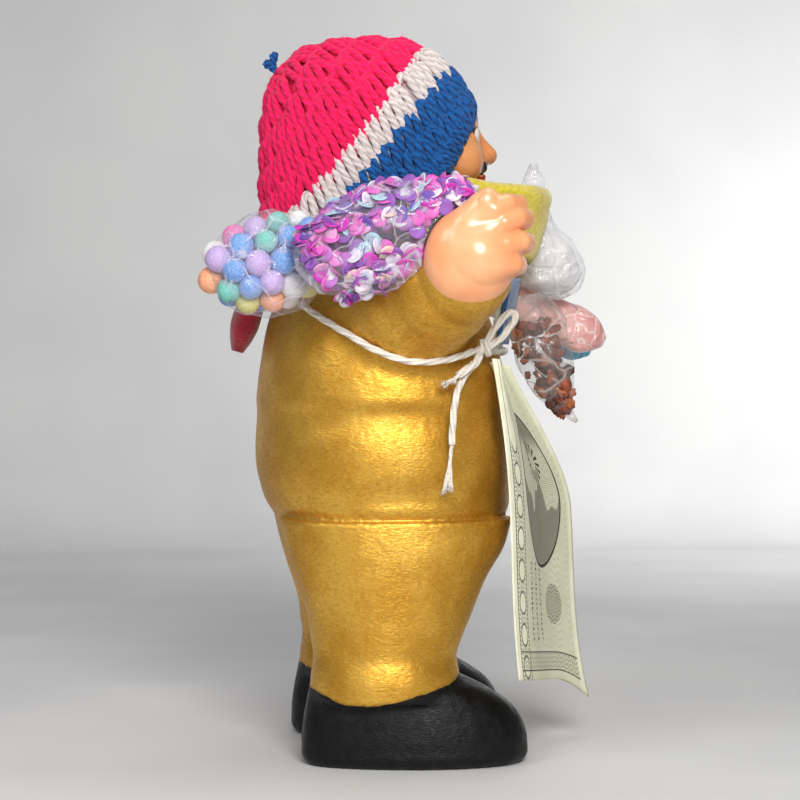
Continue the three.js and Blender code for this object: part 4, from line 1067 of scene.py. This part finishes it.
def crumpled(rings, amount, seed, clear_of=()):
    """The rings of a bag dented and pulled as film is, and pushed clear of what it lies against."""
    draw = np.random.default_rng(seed)
    points = rings.reshape(-1, 3)
    middle = points.mean(0)
    out = unit(points - rings.mean(1, keepdims=True).repeat(rings.shape[1], 1).reshape(-1, 3))
    height = np.zeros(len(points))
    for _ in range(14):
        way, phase = unit(draw.normal(size=3)), draw.uniform(0, 6.28)
        wave = draw.uniform(0.25, 0.9)
        bent = points + 2.2 * np.sin(points[:, [1, 2, 0]] * 0.21 + phase)
        height += (1 - 2 * np.abs(np.sin((bent - middle) @ way * wave * 0.5 + phase))) * draw.uniform(0.4, 1)
    points = points + out * (amount * height / 5)[:, None]
    for form in clear_of:
        for _ in range(2):
            slope, gap = slope_of(form, points)
            steep = np.maximum((slope ** 2).sum(1), 0.3)
            points = points + slope * (np.clip(0.5 - gap, 0, 6) / steep)[:, None]
    return points.reshape(rings.shape)


def seam_values(rings, end_width=0.06, side_width=0.03):
    """Where a bag's welded ends lie."""
    count, sides = rings.shape[:2]
    t = np.linspace(0, 1, count)[:, None]
    ends = np.clip(1 - np.minimum(t, 1 - t) / end_width, 0, 1)
    return (ends + np.zeros((1, sides))).ravel()


# The bag of confetti: clear film full of punched paper discs, laid along the arm behind the hand
CONFETTI_BAG = [
    (-60, -27.6, 149, 6, 2.5), (-61, -24.4, 152, 11.6, 5.5), (-62, -17, 157, 15, 8), (-63, -7, 161.5, 16.4, 9),
    (-64.5, 4, 165.5, 15, 8.5), (-67, 12, 170.5, 10.5, 6.5), (-69.5, 18.5, 175, 4.5, 3), (-70.5, 22, 176.8, 1.2, 1.2)]
clear_film = film_material("clear_film", tone(226, 220, 236))
confetti_rings = crumpled(bag_rings(CONFETTI_BAG, 90, 96), 0.9, 4, [body_form, hand_form])
confetti_part = rings_part(confetti_rings)
confetti_part["seam"] = seam_values(confetti_rings)
make_piece("confetti_bag", confetti_part, clear_film, ["confetti_bag"])

tinted, tree, shader = new_material("punched_paper", Roughness=0.6)
where = surface_place(tree)
paper_colour = put(tree, "ShaderNodeAttribute", attribute_name="tint").outputs["Color"]
paper_shade = ramped(tree, noise(tree, where, 500.0, 3.0), 0.3, 0.7, 0.0, 0.25)
tree.links.new(mixed(tree, paper_shade, paper_colour, tone(120, 60, 130)), shader.inputs["Base Color"])
raised(tree, shader, noise(tree, where, 900.0, 2.0), 0.0001, 0.6)
DISC_TONES = [((214, 60, 190), 5), ((232, 108, 200), 4), ((240, 168, 214), 3), ((150, 96, 186), 4), ((112, 84, 178), 2),
              ((232, 226, 238), 4), ((176, 214, 226), 2), ((236, 214, 196), 2), ((190, 120, 200), 3)]


def pick_tone(tones, draw):
    weights = np.array([weight for _, weight in tones], float)
    return tone(*tones[draw.choice(len(tones), p=weights / weights.sum())][0])[:3]


def disc_part(middle, facing, radius, bend, colour, draw):
    """A part: one punched paper disc, a little curled."""
    side = unit(np.cross(facing, unit(draw.normal(size=3))))
    other = np.cross(facing, side)
    angle = np.linspace(0, 2 * math.pi, 18, endpoint=False)
    rings = []
    for reach, lift in ((0.02, 0.08), (0.6, 0.08), (1, 0.08), (1, -0.08), (0.6, -0.08), (0.02, -0.08)):
        curl = bend * (reach * np.cos(angle)) ** 2 + lift
        rings.append(middle + radius * reach * (np.cos(angle)[:, None] * side + np.sin(angle)[:, None] * other)
                     + curl[:, None] * facing)
    part = rings_part(np.array(rings))
    part["tint"] = np.tile(colour, (len(part["points"]), 1))
    return part


disc_draw = np.random.default_rng(12)
discs = []
DISC_RADIUS = 2.55
confetti_inner = bag_rings(CONFETTI_BAG, 60, 60)
confetti_middle = confetti_inner.mean(1)
while len(discs) < 520:
    ring = disc_draw.integers(5, 56)
    spoke = disc_draw.integers(0, 60)
    depth = disc_draw.choice([0.93, 0.86, 0.7], p=[0.5, 0.3, 0.2]) * disc_draw.uniform(0.95, 1.02)
    spot = confetti_middle[ring] + (confetti_inner[ring, spoke] - confetti_middle[ring]) * depth
    if body_form(*spot) < 1.6 or hand_form(*spot) < 1.6:
        continue
    outward = unit(confetti_inner[ring, spoke] - confetti_middle[ring] + np.array([-2.5, 0, 0]))
    facing = unit(outward + 0.42 * disc_draw.normal(size=3))
    discs.append(disc_part(spot, facing, DISC_RADIUS, disc_draw.normal() * 0.35, pick_tone(DISC_TONES, disc_draw), disc_draw))
make_piece("confetti", joined(discs), tinted)


# The bag of foam balls: clear film round light foam beads in mixed colours, slung behind the arm
FOAM_BAG = [
    (-43, -56, 149.5, 3, 3), (-43, -53, 150.5, 9.5, 8), (-43, -45.5, 152.5, 14.5, 11), (-43.5, -36, 155.5, 16.5, 11),
    (-44, -27.5, 159.5, 13.5, 9), (-44.5, -22.5, 163.5, 8, 6), (-44.5, -20, 166, 3, 3)]
foam_rings = crumpled(bag_rings(FOAM_BAG, 80, 96), 0.7, 9, [body_form])
foam_bag_part = rings_part(foam_rings)
foam_bag_part["seam"] = seam_values(foam_rings)
make_piece("foam_ball_bag", foam_bag_part, clear_film, ["foam_ball_bag"])

ball_draw = np.random.default_rng(5)
BALL_COUNT = 46
ball_radius = ball_draw.uniform(3.5, 4.3, BALL_COUNT)
ball_middle = np.array([-43.5, -37, 156]) + ball_draw.normal(size=(BALL_COUNT, 3)) * (4, 8, 7)
for _ in range(260):
    gap = ball_middle[:, None] - ball_middle[None]
    far = np.linalg.norm(gap, axis=-1) + np.eye(BALL_COUNT) * 99
    overlap = np.clip(ball_radius[:, None] + ball_radius[None] - far, 0, None)
    ball_middle = ball_middle + (gap / far[..., None] * overlap[..., None] * 0.32).sum(1)
    slope, out_by = slope_of(lambda x, f, z: bag_form(FOAM_BAG, x, f, z), ball_middle)
    excess = np.clip(out_by + ball_radius * 0.9, 0, 4)
    ball_middle = ball_middle - unit(slope) * excess[:, None] * 0.6
    slope, gap_body = slope_of(body_form, ball_middle)
    ball_middle = ball_middle + unit(slope) * np.clip(ball_radius + 0.8 - gap_body, 0, 3)[:, None]
BALL_TONES = [((98, 152, 220), 6), ((228, 228, 226), 5), ((218, 212, 104), 2), ((246, 160, 108), 3), ((192, 162, 218), 2),
              ((226, 112, 182), 1), ((96, 190, 176), 2)]


def ball_part(middle, radius, colour, draw):
    """A part: one foam bead, very slightly out of round."""
    rows, sides = 16, 24
    polar = np.linspace(0.02, math.pi - 0.02, rows)
    angle = np.linspace(0, 2 * math.pi, sides, endpoint=False)
    ways = np.stack([np.sin(polar)[:, None] * np.cos(angle), np.sin(polar)[:, None] * np.sin(angle),
                     np.cos(polar)[:, None] + 0 * angle], -1)
    dents = 1 + 0.02 * np.sin(ways @ (draw.normal(size=3) * 5) + draw.uniform(0, 6))
    part = rings_part(middle + ways * radius * dents[..., None])
    part["tint"] = np.tile(colour, (len(part["points"]), 1))
    return part


foam_bead, tree, shader = new_material("foam_bead", Roughness=0.55, Subsurface_Weight=0.15, Subsurface_Radius=(0.003, 0.003, 0.003))
where = surface_place(tree)
bead_cells = put(tree, "ShaderNodeTexVoronoi", {"Vector": where, "Scale": 1500.0}).outputs["Distance"]
bead_colour = put(tree, "ShaderNodeAttribute", attribute_name="tint").outputs["Color"]
tree.links.new(mixed(tree, ramped(tree, bead_cells, 0.2, 0.7, 0.0, 0.16), bead_colour, tone(255, 255, 255)), shader.inputs["Base Color"])
raised(tree, shader, bead_cells, 0.00022, 0.7)
make_piece("foam_balls", joined([ball_part(m, r, pick_tone(BALL_TONES, ball_draw), ball_draw)
                                 for m, r in zip(ball_middle, ball_radius)]), foam_bead)


# The bag of white filling, held against the scarf: soft film drawn to a neck, over cotton wool
COTTON_BAG = [
    (28, 54.8, 191.5, 1.4, 1.2), (28, 54.6, 187, 3.6, 3), (28, 53.8, 179, 6, 5.6), (28, 55.2, 167.5, 8.6, 8),
    (28, 59.6, 157, 12.6, 9.5), (28, 61.2, 150.5, 11, 8), (28, 61, 145.6, 4, 3)]
milky_film = film_material("milky_film", tone(236, 234, 238), clear=0.2, crease_scale=60.0, crease_highlight_share=0.4)
cotton_rings = crumpled(bag_rings(COTTON_BAG, 70, 72), 1.1, 21)
cotton_part = rings_part(cotton_rings)
cotton_part["seam"] = seam_values(cotton_rings)
make_piece("cotton_bag", cotton_part, milky_film, ["cotton_bag"])
cotton_wool, tree, shader = new_material("cotton_wool", Roughness=0.9, Sheen_Weight=0.3)
loose = fibres(tree, 420.0, 0.6)
tree.links.new(mixed(tree, loose.outputs["Tone"], tone(222, 222, 224), tone(246, 246, 246)), shader.inputs["Base Color"])
raised(tree, shader, loose.outputs["Height"], 0.0012)
COTTON_FILL = [(28, 55, 178, 2.4, 2), (28, 55.2, 173, 5.4, 5), (28, 56, 166, 7.6, 7), (28, 59.6, 157, 11, 8.2),
               (28, 61, 150.8, 9.6, 7), (28, 61, 147, 3, 2)]
make_piece("cotton_filling", rings_part(crumpled(bag_rings(COTTON_FILL, 50, 60), 1.0, 22)), cotton_wool)


# The bag of bark chips, hung from the string in front: clear film drawn to a twisted tail
BARK_BAG = [
    (-14, 47, 146.5, 5, 3.5), (-14, 48, 141, 8.6, 6.5), (-14.5, 49.8, 131, 9.8, 8.5), (-15, 52.2, 123, 9, 8),
    (-15, 54.4, 117, 7.4, 6.5), (-15, 57, 112, 4.8, 4.2), (-15, 60, 108, 2.2, 2), (-15, 62, 105.6, 0.8, 0.8)]
smoky_film = film_material("smoky_film", tone(190, 182, 178), clear=0.2, crease_scale=70.0, crease_highlight_share=0.45, edge_share=0.5)
bark_rings = crumpled(bag_rings(BARK_BAG, 80, 72), 1.0, 33)
bark_part = rings_part(bark_rings)
bark_part["seam"] = seam_values(bark_rings)
make_piece("bark_bag", bark_part, smoky_film, ["bark_bag"])


def chip_part(middle, size, colour, draw):
    """A part: one rough chip of bark."""
    rows, sides = 9, 12
    polar = np.linspace(0.05, math.pi - 0.05, rows)
    angle = np.linspace(0, 2 * math.pi, sides, endpoint=False)
    ways = np.stack([np.sin(polar)[:, None] * np.cos(angle), np.sin(polar)[:, None] * np.sin(angle),
                     np.cos(polar)[:, None] + 0 * angle], -1)
    lumps = 1 + 0.22 * np.sin(ways @ (draw.normal(size=3) * 4) + draw.uniform(0, 6)) + 0.1 * np.sin(ways @ (draw.normal(size=3) * 9))
    turn = np.linalg.qr(draw.normal(size=(3, 3)))[0]
    shape = (ways * lumps[..., None] * (size * draw.uniform(0.5, 1, 3))) @ turn
    part = rings_part(middle + shape)
    part["tint"] = np.tile(colour, (len(part["points"]), 1))
    return part


bark_chip, tree, shader = new_material("bark_chip", Roughness=0.65)
where = surface_place(tree)
bark_colour = put(tree, "ShaderNodeAttribute", attribute_name="tint").outputs["Color"]
bark_grain = ramped(tree, noise(tree, where, 420.0, 4.0, 0.65), 0.4, 0.65)
tree.links.new(mixed(tree, sum_of(tree, "MULTIPLY", bark_grain, 0.6), bark_colour, tone(58, 26, 14)), shader.inputs["Base Color"])
raised(tree, shader, noise(tree, where, 500.0, 4.0, 0.6), 0.0006)
BARK_TONES = [((170, 84, 50), 4), ((140, 66, 44), 4), ((196, 112, 66), 2), ((104, 52, 40), 3), ((84, 50, 44), 2)]
chip_draw = np.random.default_rng(17)
chips_made = []
bark_inner = bag_rings(BARK_BAG, 50, 40)
bark_middle = bark_inner.mean(1)
while len(chips_made) < 130:
    ring, spoke = chip_draw.integers(11, 44), chip_draw.integers(0, 40)
    spot = bark_middle[ring] + (bark_inner[ring, spoke] - bark_middle[ring]) * chip_draw.uniform(0.2, 0.78)
    chips_made.append(chip_part(spot, chip_draw.uniform(1.6, 2.7), pick_tone(BARK_TONES, chip_draw), chip_draw))
make_piece("bark_chips", joined(chips_made), bark_chip)


# The small packets in front: sweets in pink and blue film, flat and welded at both ends
def packet(name, node, stations, light, dark, seed, power=3.0, crumple=0.6):
    """One closed packet of printed film."""
    material, tree, shader = new_material(name, Roughness=0.22, Coat_Weight=0.6, Coat_Roughness=0.08)
    creases = put(tree, "ShaderNodeGroup", {"Scale": 120.0}, node_tree=crease_effect)
    broad = ramped(tree, noise(tree, surface_place(tree), 130.0, 3.0), 0.35, 0.65)
    film_tone = mixed(tree, broad, dark, light)
    # Painted highlights: near-white lines along the creases of the film
    tree.links.new(mixed(tree, sum_of(tree, "MULTIPLY", creases.outputs["Highlight_lines"], 0.5), film_tone, tone(250, 240, 240)),
                   shader.inputs["Base Color"])
    raised(tree, shader, creases.outputs["Height"], 0.0009)
    return make_piece(name, rings_part(crumpled(bag_rings(stations, 60, 56, power), crumple, seed)), material, [node])


packet("pink_packet", "pink_packet",
       [(42, 32.4, 156.2, 2.4, 5), (42, 35.4, 154.6, 5.8, 7), (42, 63.5, 140.4, 6.6, 7.4), (42, 77.6, 132.8, 6, 7), (42, 81, 131, 2.4, 5)],
       tone(240, 190, 184), tone(222, 158, 152), 41)
packet("blue_packet", "blue_packet",
       [(54, 66, 134, 3, 3), (54, 69, 132.6, 5.4, 4), (54, 76, 129, 5, 4), (54, 79, 127.6, 2, 3)],
       tone(96, 190, 226), tone(60, 154, 206), 42)


# The piece of red cloth at the back, a folded pad tucked under the string
red_cloth = felt_material("red_cloth", tone(204, 22, 54), tone(140, 10, 36), 1500.0)
make_piece("red_packet", rings_part(crumpled(bag_rings(
    [(3, -40.2, 148, 2, 6), (3, -41.4, 144.5, 3.6, 9), (3, -45.6, 131.5, 3.6, 9), (3, -46.6, 128, 2, 6)], 50, 56, 3.0), 0.5, 51)),
    red_cloth, ["red_packet"])


# The table top and the pale wall behind it, in one sweep, and soft studio lights
def studio_sheet():
    mesh = bpy.data.meshes.new("studio_sheet")
    bend, wall = 0.05, 0.72
    profile = [(-2.2, 0.0), (wall - bend, 0.0)] + [(wall - bend + bend * math.sin(a), bend - bend * math.cos(a))
                                                   for a in np.linspace(0.1, math.pi / 2, 14)] + [(wall, 2.4)]
    points = [(x, y, z - 0.0002) for x, z in profile for y in (-2.5, 2.5)]
    faces = [(2 * i, 2 * i + 1, 2 * i + 3, 2 * i + 2) for i in range(len(profile) - 1)]
    mesh.from_pydata(points, [], faces)
    mesh.shade_smooth()
    material, tree, shader = new_material("studio_paper", Roughness=0.7, Base_Color=tone(222, 222, 222))
    shade = ramped(tree, noise(tree, surface_place(tree), 9.0, 2.0), 0.3, 0.7)
    tree.links.new(mixed(tree, shade, tone(218, 218, 219), tone(226, 226, 225)), shader.inputs["Base Color"])
    mesh.materials.append(material)
    made = bpy.data.objects.new("studio_sheet", mesh)
    bpy.context.scene.collection.objects.link(made)


studio_sheet()
world = bpy.data.worlds.new("studio")
world.use_nodes = True
world.node_tree.nodes["Background"].inputs[0].default_value = (0.9, 0.93, 1, 1)
world.node_tree.nodes["Background"].inputs[1].default_value = 0.17
bpy.context.scene.world = world


def soft_light(name, where_at, aim, size, watts, colour=(1, 1, 1), spread=math.pi):
    light = bpy.data.lights.new(name, "AREA")
    light.spread = spread
    light.shape, light.size, light.energy, light.color = "DISK", size, watts, colour
    made = bpy.data.objects.new(name, light)
    bpy.context.scene.collection.objects.link(made)
    made.location = where_at
    made.rotation_euler = (Vector(aim) - Vector(where_at)).to_track_quat("-Z", "Y").to_euler()


soft_light("key_light", (-0.80, -0.04, 0.50), (0, 0, 0.12), 0.36, 6.4, (1, 0.985, 0.96))
soft_light("left_light", (-0.45, 0.55, 0.60), (0, 0, 0.10), 0.30, 1.3)
soft_light("top_light", (0.0, -0.1, 0.9), (0, 0, 0.1), 0.4, 1.2)
soft_light("wall_light", (0.25, -0.55, 0.30), (0.72, -0.32, 0.12), 0.3, 0.7, spread=1.6)
bpy.context.scene.view_settings.view_transform = "Standard"
